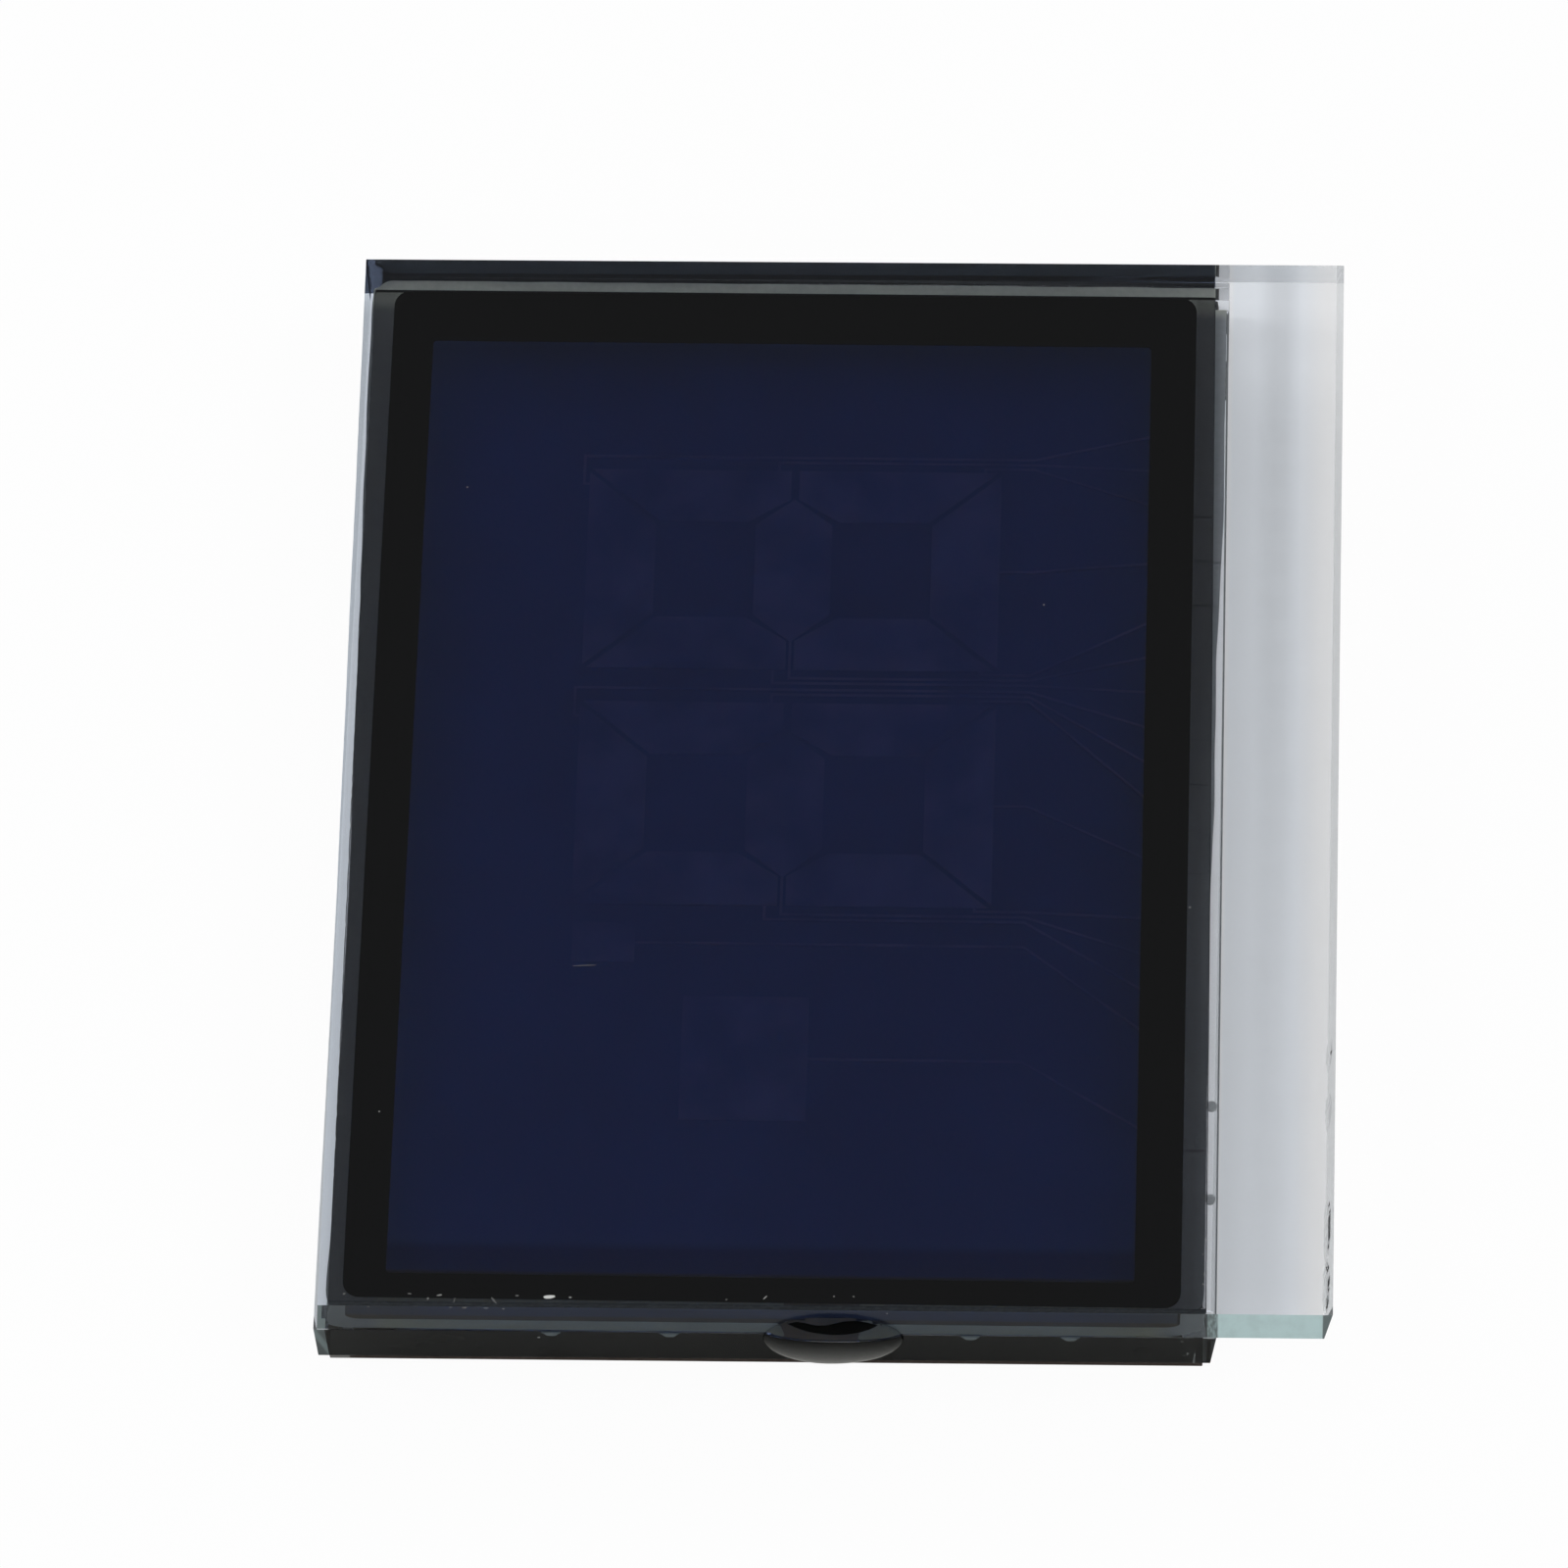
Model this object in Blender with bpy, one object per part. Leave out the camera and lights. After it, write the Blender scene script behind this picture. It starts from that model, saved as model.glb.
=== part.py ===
"""Glass liquid crystal display cell, lying on its rear polarizer with the viewing side up.

X runs towards the contact ledge, Y away from the filling port, Z up towards the viewer.
The origin is on the rear polarizer's outer face, under the middle of the front glass plate.
"""

import math

import bmesh
import bpy
from mathutils import Vector

MM = 0.001

# Glass plates
GLASS_THICKNESS = 1.1 * MM
GLASS_LENGTH = 20.9 * MM
FRONT_GLASS_WIDTH = 18.0 * MM
LEDGE_WIDTH = 2.1 * MM
REAR_GLASS_OFFSET = 0.07 * MM  # the rear plate stands this far past the front one, away from the ledge

# Layers between the plates; the real ones are thinner than a hair, these stand in for them
CRYSTAL_THICKNESS = 0.03 * MM
ELECTRODE_THICKNESS = 0.01 * MM

# Polarizers: film and adhesive together, with their margins to the glass edges
POLARIZER_THICKNESS = 0.19 * MM
FRONT_POLARIZER_LEFT = 0.15 * MM
FRONT_POLARIZER_RIGHT = 0.19 * MM
FRONT_POLARIZER_TOP = 0.73 * MM
FRONT_POLARIZER_BOTTOM = 0.03 * MM
REAR_POLARIZER_LEFT = 0.46 * MM
REAR_POLARIZER_RIGHT = 0.28 * MM
REAR_POLARIZER_TOP = 0.16 * MM
REAR_POLARIZER_BOTTOM = 0.02 * MM

# Black frame, printed under the front polarizer, with its margins to the polarizer's edges
PRINT_THICKNESS = 0.012 * MM
PRINT_LEFT = 0.38 * MM
PRINT_RIGHT = 0.41 * MM
PRINT_TOP = 0.02 * MM
PRINT_BOTTOM = 0.05 * MM
PRINT_CORNER_RADIUS = 0.3 * MM
FRAME_LEFT = 0.75 * MM
FRAME_RIGHT = 0.82 * MM
FRAME_TOP = 1.03 * MM
FRAME_BOTTOM = 0.47 * MM
WINDOW_CORNER_RADIUS = 0.08 * MM

# Edge seal between the plates, with its margins to the rear glass edges
SEAL_LEFT = 0.19 * MM
SEAL_RIGHT = 0.3 * MM
SEAL_TOP = 0.34 * MM
SEAL_BOTTOM = 0.21 * MM
SEAL_WIDTH = 0.36 * MM
SEAL_WIDTH_BOTTOM = 0.55 * MM
SEAL_OUTER_RADIUS = 0.45 * MM
SEAL_INNER_RADIUS = 0.25 * MM
SEAL_BUMP_RADIUS = 0.1 * MM
SEAL_BUMP_PLACES = [-4.9 * MM, -2.8 * MM, 2.5 * MM, 4.3 * MM]

# Filling port in the seal, and the resin that closes it
PORT_CENTRE = -0.13 * MM
PORT_WIDTH = 1.4 * MM
PORT_LIP_WIDTH = 0.3 * MM
PORT_LIP_MARGIN = 0.05 * MM
PLUG_CENTRE = 0.07 * MM
PLUG_WIDTH = 2.45 * MM
PLUG_HEIGHT = 2.0 * MM
PLUG_BULGE = 0.3 * MM
PLUG_TONGUE_DEPTH = 0.45 * MM
PLUG_ROUND_STEPS = 32
PLUG_LAYER_STEPS = 8
FILL_CLEARANCE = 0.01 * MM  # between the seal and what fills the cell and its port

# Seven-segment figures, which lie on their side
DIGIT_HEIGHT = 7.55 * MM
DIGIT_WIDTH = 4.05 * MM
DIGIT_GAP = 0.67 * MM
FIGURES_SHIFT = 0.12 * MM  # of all the figures and marks from the window's middle, along X
FIGURES_RISE = 0.53 * MM  # and along Y
SIDE_STROKE = 1.05 * MM
END_STROKE = 1.25 * MM
MIDDLE_STROKE = 1.4 * MM
SEGMENT_GAP = 0.06 * MM
SEGMENT_MIDDLE_GAP = 0.15 * MM
SMALL_MARK_LENGTH = 1.13 * MM
SMALL_MARK_WIDTH = 0.78 * MM
SMALL_MARK_OFFSET = 0.04 * MM  # along X from the figures' feet
SMALL_MARK_GAP = 0.365 * MM  # below the second figure
LARGE_MARK_LENGTH = 2.26 * MM
LARGE_MARK_WIDTH = 2.42 * MM
LARGE_MARK_OFFSET = 2.075 * MM
LARGE_MARK_GAP = 0.65 * MM  # below the small mark

# Leads and contact pads on the inner face of the front glass
LEAD_WIDTH = 0.05 * MM
LEAD_PITCH = 0.1 * MM
LEAD_CLEARANCE = 0.07 * MM
CHANNEL_CLEARANCE = 0.005 * MM  # round a lead where it passes under the seal
LEAD_INSET = 0.3 * MM
FAN_START = 0.6 * MM  # past the figures' near end
FAN_END = 0.7 * MM  # short of the rear glass edge
PAD_PITCH = 0.9 * MM
PAD_WIDTH = 0.5 * MM
PAD_LENGTH = 1.5 * MM
PAD_MARGIN = 0.25 * MM  # to the ledge's free edge
PAD_ROW_DROP = 0.3 * MM  # of the row's middle below the plate's middle

# Common electrodes on the rear glass, and the conductive dots that join them to the ledge
COMMON_MARGIN = 0.3 * MM
COMMON_SPLIT = 0.12 * MM
COMMON_LEAD_WIDTH = 0.24 * MM
DOT_RADIUS = 0.1 * MM
DOT_INSET = 0.12 * MM
DOT_PAD_MARGIN = 0.01 * MM

ARC_STEPS = 8
SMOOTH_ANGLE = 40
CUT_MARGIN = 0.1 * MM

# Heights, from the surface that the cell lies on
REAR_GLASS_Z = POLARIZER_THICKNESS
COMMON_Z = REAR_GLASS_Z + GLASS_THICKNESS
CRYSTAL_Z = COMMON_Z + ELECTRODE_THICKNESS
SEGMENT_Z = CRYSTAL_Z + CRYSTAL_THICKNESS
FRONT_GLASS_Z = SEGMENT_Z + ELECTRODE_THICKNESS
FRONT_FACE_Z = FRONT_GLASS_Z + GLASS_THICKNESS
FRONT_POLARIZER_Z = FRONT_FACE_Z + POLARIZER_THICKNESS

# Edges of the plates
TOP = GLASS_LENGTH / 2
BOTTOM = -GLASS_LENGTH / 2
FRONT_LEFT = -FRONT_GLASS_WIDTH / 2
LEDGE_EDGE = FRONT_GLASS_WIDTH / 2
REAR_LEFT = FRONT_LEFT - REAR_GLASS_OFFSET
REAR_RIGHT = LEDGE_EDGE - LEDGE_WIDTH


class Box:
    """A rectangle in plan, by its left, right, bottom and top edges."""

    def __init__(self, left, right, bottom, top):
        self.left, self.right, self.bottom, self.top = left, right, bottom, top

    def inset(self, left, right, bottom, top):
        return Box(self.left + left, self.right - right, self.bottom + bottom, self.top - top)

    def corners(self):
        """The corners, anticlockwise from the lower left."""
        return [
            (self.left, self.bottom),
            (self.right, self.bottom),
            (self.right, self.top),
            (self.left, self.top),
        ]


FRONT_PLATE = Box(FRONT_LEFT, LEDGE_EDGE, BOTTOM, TOP)
REAR_PLATE = Box(REAR_LEFT, REAR_RIGHT, BOTTOM, TOP)
SHARED_PLATE = Box(FRONT_LEFT, REAR_RIGHT, BOTTOM, TOP)
FRONT_FILM = SHARED_PLATE.inset(
    FRONT_POLARIZER_LEFT, FRONT_POLARIZER_RIGHT, FRONT_POLARIZER_BOTTOM, FRONT_POLARIZER_TOP
)
REAR_FILM = REAR_PLATE.inset(
    REAR_POLARIZER_LEFT, REAR_POLARIZER_RIGHT, REAR_POLARIZER_BOTTOM, REAR_POLARIZER_TOP
)
PRINT = FRONT_FILM.inset(PRINT_LEFT, PRINT_RIGHT, PRINT_BOTTOM, PRINT_TOP)
WINDOW = PRINT.inset(FRAME_LEFT, FRAME_RIGHT, FRAME_BOTTOM, FRAME_TOP)
SEAL_OUTER = REAR_PLATE.inset(SEAL_LEFT, SEAL_RIGHT, SEAL_BOTTOM, SEAL_TOP)
SEAL_INNER = SEAL_OUTER.inset(SEAL_WIDTH, SEAL_WIDTH, SEAL_WIDTH_BOTTOM, SEAL_WIDTH)
DIGIT_FOOT_X = (WINDOW.left + WINDOW.right - DIGIT_HEIGHT) / 2 + FIGURES_SHIFT
DIGIT_END_X = DIGIT_FOOT_X + DIGIT_HEIGHT
FIGURES_WIDTH = (
    2 * DIGIT_WIDTH + DIGIT_GAP + SMALL_MARK_GAP + SMALL_MARK_WIDTH + LARGE_MARK_GAP + LARGE_MARK_WIDTH
)
FIRST_DIGIT_LOW = (WINDOW.bottom + WINDOW.top + FIGURES_WIDTH) / 2 + FIGURES_RISE - DIGIT_WIDTH
SECOND_DIGIT_LOW = FIRST_DIGIT_LOW - DIGIT_GAP - DIGIT_WIDTH
SMALL_MARK_TOP = SECOND_DIGIT_LOW - SMALL_MARK_GAP
LARGE_MARK_TOP = SMALL_MARK_TOP - SMALL_MARK_WIDTH - LARGE_MARK_GAP
PADS = Box(LEDGE_EDGE - PAD_MARGIN - PAD_LENGTH, LEDGE_EDGE - PAD_MARGIN, BOTTOM, TOP)

# Each electrode's place in the row of contact pads, from the top
DIGIT_ORDER = "defabgc"
PAD_ORDER = [f"digit_{n}_segment_{letter}" for n in (1, 2) for letter in DIGIT_ORDER] + [
    "small_mark_segment",
    "common_contact_1",
    "large_mark_segment",
    "common_contact_2",
]


def clear_scene():
    for obj in list(bpy.data.objects):
        bpy.data.objects.remove(obj, do_unlink=True)


def finish_material(name, colour, roughness, metallic=0.0, alpha=1.0):
    material = bpy.data.materials.new(name)
    material.use_nodes = True
    shader = material.node_tree.nodes["Principled BSDF"]
    shader.inputs["Base Color"].default_value = (*colour, 1.0)
    shader.inputs["Roughness"].default_value = roughness
    shader.inputs["Metallic"].default_value = metallic
    shader.inputs["Alpha"].default_value = alpha
    material.diffuse_color = (*colour, alpha)
    return material


def add_object(name, bm, material):
    bmesh.ops.recalc_face_normals(bm, faces=bm.faces)
    mesh = bpy.data.meshes.new(name)
    bm.to_mesh(mesh)
    bm.free()
    obj = bpy.data.objects.new(name, mesh)
    bpy.context.scene.collection.objects.link(obj)
    if material is not None:
        mesh.materials.append(material)
    return obj


def flat_solid(name, outline, low, high, material=None):
    """The outline, in plan, as a solid from one height to another."""
    bm = bmesh.new()
    base = bm.faces.new([bm.verts.new((x, y, low)) for x, y in outline])
    raised = bmesh.ops.extrude_face_region(bm, geom=[base])["geom"]
    bmesh.ops.translate(
        bm,
        verts=[part for part in raised if isinstance(part, bmesh.types.BMVert)],
        vec=(0, 0, high - low),
    )
    return add_object(name, bm, material)


def combine(target, helper, operation):
    helper.hide_render = True
    helper.display_type = "WIRE"
    modifier = target.modifiers.new(helper.name, "BOOLEAN")
    modifier.operation = operation
    modifier.solver = "EXACT"
    modifier.object = helper


def cut(target, cutter):
    """Takes the cutter's shape out of the target."""
    combine(target, cutter, "DIFFERENCE")


def join(target, piece):
    """Makes the piece one with the target."""
    combine(target, piece, "UNION")


def arc(centre, radius, start, end, steps=ARC_STEPS):
    """Points round a centre, from one angle in degrees to another."""
    angles = [math.radians(start + (end - start) * i / steps) for i in range(steps + 1)]
    return [(centre[0] + radius * math.cos(a), centre[1] + radius * math.sin(a)) for a in angles]


def rounded(box, radius):
    """The box's outline with round corners, anticlockwise from its lower left corner."""
    left, right = box.left + radius, box.right - radius
    bottom, top = box.bottom + radius, box.top - radius
    return (
        arc((left, bottom), radius, 180, 270)
        + arc((right, bottom), radius, 270, 360)
        + arc((right, top), radius, 0, 90)
        + arc((left, top), radius, 90, 180)
    )


def make_glass(material):
    flat_solid("front_glass", FRONT_PLATE.corners(), FRONT_GLASS_Z, FRONT_FACE_Z, material)
    flat_solid("rear_glass", REAR_PLATE.corners(), REAR_GLASS_Z, COMMON_Z, material)


def make_print(name, low, high, material=None):
    """The black frame's shape between two heights: a rounded sheet round the viewing window."""
    frame = flat_solid(name, rounded(PRINT, PRINT_CORNER_RADIUS), low, high, material)
    window = flat_solid(
        name + "_window", rounded(WINDOW, WINDOW_CORNER_RADIUS), low - CUT_MARGIN, high + CUT_MARGIN
    )
    cut(frame, window)
    return frame


def make_polarizers(film):
    """The front film's adhesive side takes up the thickness of the printed frame."""
    front = flat_solid("front_polarizer", FRONT_FILM.corners(), FRONT_FACE_Z, FRONT_POLARIZER_Z, film)
    cut(front, make_print("print_recess", FRONT_FACE_Z - CUT_MARGIN, FRONT_FACE_Z + PRINT_THICKNESS))
    flat_solid("rear_polarizer", REAR_FILM.corners(), 0, REAR_GLASS_Z, film)


def port_lip():
    """The seal's end to the right of the filling port, turned out towards the glass edge."""
    mouth = PORT_CENTRE + PORT_WIDTH / 2
    rounding = PORT_LIP_WIDTH / 2
    tip = arc((mouth + rounding, BOTTOM + PORT_LIP_MARGIN + rounding), rounding, 0, -180)
    shoulder = arc((mouth + rounding, SEAL_INNER.bottom - rounding), rounding, 180, 90)
    return [(mouth + PORT_LIP_WIDTH, SEAL_OUTER.bottom)] + tip + shoulder


def make_seal(material):
    """A line of seal all round, open at the filling port, with small bumps of it on the port side."""
    bottom, radius = SEAL_OUTER.bottom, SEAL_OUTER_RADIUS
    bumps = [arc((x, bottom), SEAL_BUMP_RADIUS, 180, 360) for x in SEAL_BUMP_PLACES]
    left_bumps = sum([bump for bump in bumps if bump[0][0] < PORT_CENTRE], [])
    right_bumps = sum([bump for bump in bumps if bump[0][0] > PORT_CENTRE], [])
    corner = ARC_STEPS + 1
    outer = rounded(SEAL_OUTER, radius)
    inner = rounded(SEAL_INNER, SEAL_INNER_RADIUS)
    lip = port_lip()
    outline = (
        lip[:1]
        + right_bumps
        + outer[corner:]
        + outer[:corner]
        + left_bumps
        + [(2 * PORT_CENTRE - x, y) for x, y in lip]
        + (inner[corner:] + inner[:corner])[::-1]
        + lip[:0:-1]
    )
    seal = flat_solid("perimeter_seal", outline, COMMON_Z, FRONT_GLASS_Z, material)
    half = LEAD_WIDTH / 2 + CHANNEL_CLEARANCE
    for name in PAD_ORDER:
        if "segment" in name:
            cut_channel(seal, name, pad_height(name), half, SEGMENT_Z, FRONT_GLASS_Z + CUT_MARGIN)
    half = COMMON_LEAD_WIDTH / 2 + CHANNEL_CLEARANCE
    for name in PAD_ORDER:
        if "contact" in name:
            cut_channel(seal, name, pad_height(name), half, COMMON_Z - CUT_MARGIN, CRYSTAL_Z)


def cut_channel(seal, name, y, half, low, high):
    """A slot across the seal's ledge side, for a lead to pass."""
    slot = Box(SEAL_INNER.right - CUT_MARGIN, SEAL_OUTER.right + CUT_MARGIN, y - half, y + half)
    cut(seal, flat_solid(name + "_channel", slot.corners(), low, high))


def make_crystal(material):
    """The fill between the electrode layers, with a neck that reaches down the port to the resin."""
    area = SEAL_INNER.inset(*[FILL_CLEARANCE] * 4)
    half = PORT_WIDTH / 2 - FILL_CLEARANCE
    corner = ARC_STEPS + 1
    outline = rounded(area, SEAL_INNER_RADIUS)
    neck_end = BOTTOM + PLUG_TONGUE_DEPTH + FILL_CLEARANCE
    neck = Box(PORT_CENTRE - half, PORT_CENTRE + half, neck_end, area.bottom).corners()
    flat_solid(
        "liquid_crystal",
        outline[:corner] + neck[3:] + neck[:3] + outline[corner:],
        CRYSTAL_Z,
        SEGMENT_Z,
        material,
    )


def make_plug(material):
    """A dome of resin on the cut edges of both plates, with a tongue that reaches into the port."""
    middle = REAR_GLASS_Z + PLUG_HEIGHT / 2
    bm = bmesh.new()
    rings = []
    for layer in range(PLUG_LAYER_STEPS):
        tilt = math.pi / 2 * layer / PLUG_LAYER_STEPS
        ring = arc(
            (PLUG_CENTRE, middle), 1, 0, 360 - 360 / PLUG_ROUND_STEPS, PLUG_ROUND_STEPS - 1
        )
        reach = math.cos(tilt)
        rings.append(
            [
                bm.verts.new(
                    (
                        PLUG_CENTRE + (x - PLUG_CENTRE) * reach * PLUG_WIDTH / 2,
                        BOTTOM - PLUG_BULGE * math.sin(tilt),
                        middle + (z - middle) * reach * PLUG_HEIGHT / 2,
                    )
                )
                for x, z in ring
            ]
        )
    tip = bm.verts.new((PLUG_CENTRE, BOTTOM - PLUG_BULGE, middle))
    bm.faces.new(rings[0])
    for i in range(PLUG_ROUND_STEPS):
        j = (i + 1) % PLUG_ROUND_STEPS
        for near, far in zip(rings, rings[1:]):
            bm.faces.new((near[i], near[j], far[j], far[i]))
        bm.faces.new((rings[-1][i], rings[-1][j], tip))
    plug = add_object("end_seal_plug", bm, material)
    plug.data.shade_smooth()
    plug.data.set_sharp_from_angle(angle=math.radians(SMOOTH_ANGLE))
    half = PORT_WIDTH / 2 - FILL_CLEARANCE
    tongue = Box(
        PORT_CENTRE - half, PORT_CENTRE + half, BOTTOM - PLUG_BULGE / 3, BOTTOM + PLUG_TONGUE_DEPTH
    )
    join(plug, flat_solid("plug_tongue", tongue.corners(), COMMON_Z, FRONT_GLASS_Z))


def lead_sides(path):
    """The lead's right and left edges along its path."""
    points = [Vector(p) for p in path]
    right, left = [], []
    for i, point in enumerate(points):
        before = (point - points[i - 1]).normalized() if i else None
        after = (points[i + 1] - point).normalized() if i + 1 < len(points) else None
        before, after = before or after, after or before
        along = (before + after).normalized()
        normal = Vector((along.y, -along.x))
        reach = LEAD_WIDTH / 2 / normal.dot(Vector((after.y, -after.x)))
        right.append(tuple(point + normal * reach))
        left.append(tuple(point - normal * reach))
    return right, left


def pad_height(name):
    return PAD_PITCH * ((len(PAD_ORDER) - 1) / 2 - PAD_ORDER.index(name)) - PAD_ROW_DROP


def lead_to_pad(name, path):
    """The edge of a lead along the path and on to its contact pad, round the pad and back."""
    y = pad_height(name)
    right, left = lead_sides(path + [(REAR_RIGHT - FAN_END, y), (PADS.left, y)])
    pad = Box(PADS.left, PADS.right, y - PAD_WIDTH / 2, y + PAD_WIDTH / 2)
    return right + pad.corners() + left[::-1]


def make_electrode(name, outline, after, path, material):
    """A segment with its lead, which leaves it after the given corner of the outline."""
    points = outline[: after + 1] + lead_to_pad(name, path) + outline[after + 1 :]
    flat_solid(name, points, SEGMENT_Z, FRONT_GLASS_Z, material)


def make_digit(number, low, material):
    """Seven segments round two openings, with the figure's head towards the ledge."""
    gap, side_stroke = SEGMENT_GAP, SIDE_STROKE
    foot, head, high = DIGIT_FOOT_X, DIGIT_END_X, low + DIGIT_WIDTH
    waist = (foot + head) / 2
    split = SEGMENT_MIDDLE_GAP / 2
    inner_low, inner_high = low + side_stroke + gap, high - side_stroke - gap

    def lane(n, side):
        """The height of the nth lead outside the figure, above it for 1 and below it for -1."""
        edge = high if side > 0 else low
        return edge + side * (LEAD_CLEARANCE + n * LEAD_PITCH)

    def side_bar(half, side):
        """A bar along the figure: half is -1 towards the foot and 1 towards the head."""
        end = foot if half < 0 else head
        edge = high if side > 0 else low
        return [
            (end - half * gap, edge),
            (end - half * (END_STROKE + gap), edge - side * side_stroke),
            (waist + half * (MIDDLE_STROKE / 2 + split + gap), edge - side * side_stroke),
            (waist + half * split, edge - side * (side_stroke / 2 + gap)),
            (waist + half * split, edge),
        ]

    def cross_bar(end, half):
        """The bar across the figure's foot or head."""
        return [
            (end, high - gap),
            (end, low + gap),
            (end - half * END_STROKE, inner_low),
            (end - half * END_STROKE, inner_high),
        ]

    def lead(start, n, side):
        """Straight out of the figure at a point on its edge, and along the nth lead's height."""
        return [start, (start[0], lane(n, side))]

    middle = [
        (waist + MIDDLE_STROKE / 2, inner_low),
        (waist + MIDDLE_STROKE / 2, inner_high),
        (waist, high - side_stroke / 2 - gap),
        (waist - MIDDLE_STROKE / 2, inner_high),
        (waist - MIDDLE_STROKE / 2, inner_low),
    ]
    foot_exit = high - LEAD_INSET
    around = [(foot, foot_exit), (foot - LEAD_PITCH, foot_exit), (foot - LEAD_PITCH, lane(2, 1))]
    segments = {
        "d": (cross_bar(foot, -1), 0, around),
        "e": (side_bar(-1, 1), 4, lead((waist - LEAD_INSET, high), 1, 1)),
        "f": (side_bar(1, 1)[::-1], 4, lead((head - LEAD_INSET, high), 0, 1)),
        "a": (cross_bar(head, 1)[::-1], 2, [(head, (low + high) / 2)]),
        "b": (side_bar(1, -1), 4, lead((head - LEAD_INSET, low), 0, -1)),
        "g": (middle, 4, lead((waist, low + side_stroke / 2 + gap), 1, -1)),
        "c": (side_bar(-1, -1)[::-1], 4, lead((waist - LEAD_INSET, low), 2, -1)),
    }
    for letter in DIGIT_ORDER:
        outline, after, path = segments[letter]
        bend = (DIGIT_END_X + FAN_START, path[-1][1])
        make_electrode(f"digit_{number}_segment_{letter}", outline, after, path + [bend], material)


def make_mark(name, offset, top, length, width, material):
    """A plain rectangular mark, lit beside the figures."""
    box = Box(DIGIT_FOOT_X + offset, DIGIT_FOOT_X + offset + length, top - width, top)
    level = top - width / 2
    path = [(box.right, level), (DIGIT_END_X + FAN_START, level)]
    make_electrode(name, box.corners(), 1, path, material)


def make_segments(material):
    make_digit(1, FIRST_DIGIT_LOW, material)
    make_digit(2, SECOND_DIGIT_LOW, material)
    make_mark(
        "small_mark_segment",
        SMALL_MARK_OFFSET,
        SMALL_MARK_TOP,
        SMALL_MARK_LENGTH,
        SMALL_MARK_WIDTH,
        material,
    )
    make_mark(
        "large_mark_segment",
        LARGE_MARK_OFFSET,
        LARGE_MARK_TOP,
        LARGE_MARK_LENGTH,
        LARGE_MARK_WIDTH,
        material,
    )


def make_commons(material, dot_material):
    """Two common electrodes on the rear glass, each joined by a dot to a contact on the front glass."""
    area = SEAL_INNER.inset(COMMON_MARGIN, COMMON_MARGIN, COMMON_MARGIN, COMMON_MARGIN)
    split = FIRST_DIGIT_LOW - DIGIT_GAP / 2
    dot_x = REAR_RIGHT - DOT_INSET
    dot_edge = dot_x + DOT_RADIUS
    half = COMMON_LEAD_WIDTH / 2
    dots = {n: pad_height(f"common_contact_{n}") for n in (1, 2)}
    inner_right = area.right - COMMON_LEAD_WIDTH - COMMON_SPLIT
    outlines = {
        1: [
            (area.left, split + COMMON_SPLIT / 2),
            (area.right - COMMON_LEAD_WIDTH, split + COMMON_SPLIT / 2),
            (area.right - COMMON_LEAD_WIDTH, dots[1] - half),
            (dot_edge, dots[1] - half),
            (dot_edge, dots[1] + half),
            (area.right, dots[1] + half),
            (area.right, area.top),
            (area.left, area.top),
        ],
        2: [
            (area.left, area.bottom),
            (inner_right, area.bottom),
            (inner_right, dots[2] - half),
            (dot_edge, dots[2] - half),
            (dot_edge, dots[2] + half),
            (inner_right, dots[2] + half),
            (inner_right, split - COMMON_SPLIT / 2),
            (area.left, split - COMMON_SPLIT / 2),
        ],
    }
    for n, y in dots.items():
        flat_solid(f"common_electrode_{n}", outlines[n], COMMON_Z, CRYSTAL_Z, material)
        flat_solid(
            f"transfer_dot_{n}", arc((dot_x, y), DOT_RADIUS, 0, 345, 23), CRYSTAL_Z, SEGMENT_Z, dot_material
        )
        under = Box(dot_x - DOT_RADIUS - DOT_PAD_MARGIN, PADS.left, y - half, y + half)
        pad = Box(PADS.left, PADS.right, y - PAD_WIDTH / 2, y + PAD_WIDTH / 2)
        lower, upper = under.corners()[:2], under.corners()[2:]
        flat_solid(
            f"common_contact_{n}", lower + pad.corners() + upper, SEGMENT_Z, FRONT_GLASS_Z, material
        )


def main():
    clear_scene()
    glass = finish_material("display_glass", (0.62, 0.72, 0.71), 0.03, alpha=0.35)
    film = finish_material("polarizer_film", (0.012, 0.013, 0.024), 0.12)
    ink = finish_material("frame_ink", (0.010, 0.011, 0.012), 0.4)
    seal = finish_material("seal_adhesive", (0.20, 0.24, 0.26), 0.45)
    resin = finish_material("port_resin", (0.05, 0.055, 0.06), 0.15, alpha=0.8)
    oxide = finish_material("clear_oxide", (0.50, 0.52, 0.46), 0.08, alpha=0.3)
    crystal = finish_material("liquid_crystal_fill", (0.010, 0.012, 0.05), 0.1)
    silver = finish_material("silver_paste", (0.55, 0.56, 0.56), 0.45, metallic=0.6)

    make_glass(glass)
    make_print("black_frame_print", FRONT_FACE_Z, FRONT_FACE_Z + PRINT_THICKNESS, ink)
    make_polarizers(film)
    make_seal(seal)
    make_crystal(crystal)
    make_plug(resin)
    make_segments(oxide)
    make_commons(oxide, silver)


main()
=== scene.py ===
"""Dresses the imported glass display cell: scribed glass plates, polarizer films, resin and the layers between.

It is laid out as a Blender add-on and is run as a script. Lengths are in millimetres unless a name says otherwise.
"""

import math

import bmesh
import bpy
from bpy.props import FloatProperty, FloatVectorProperty, PointerProperty
from mathutils import Matrix, Vector, noise
from mathutils.geometry import tessellate_polygon


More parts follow.
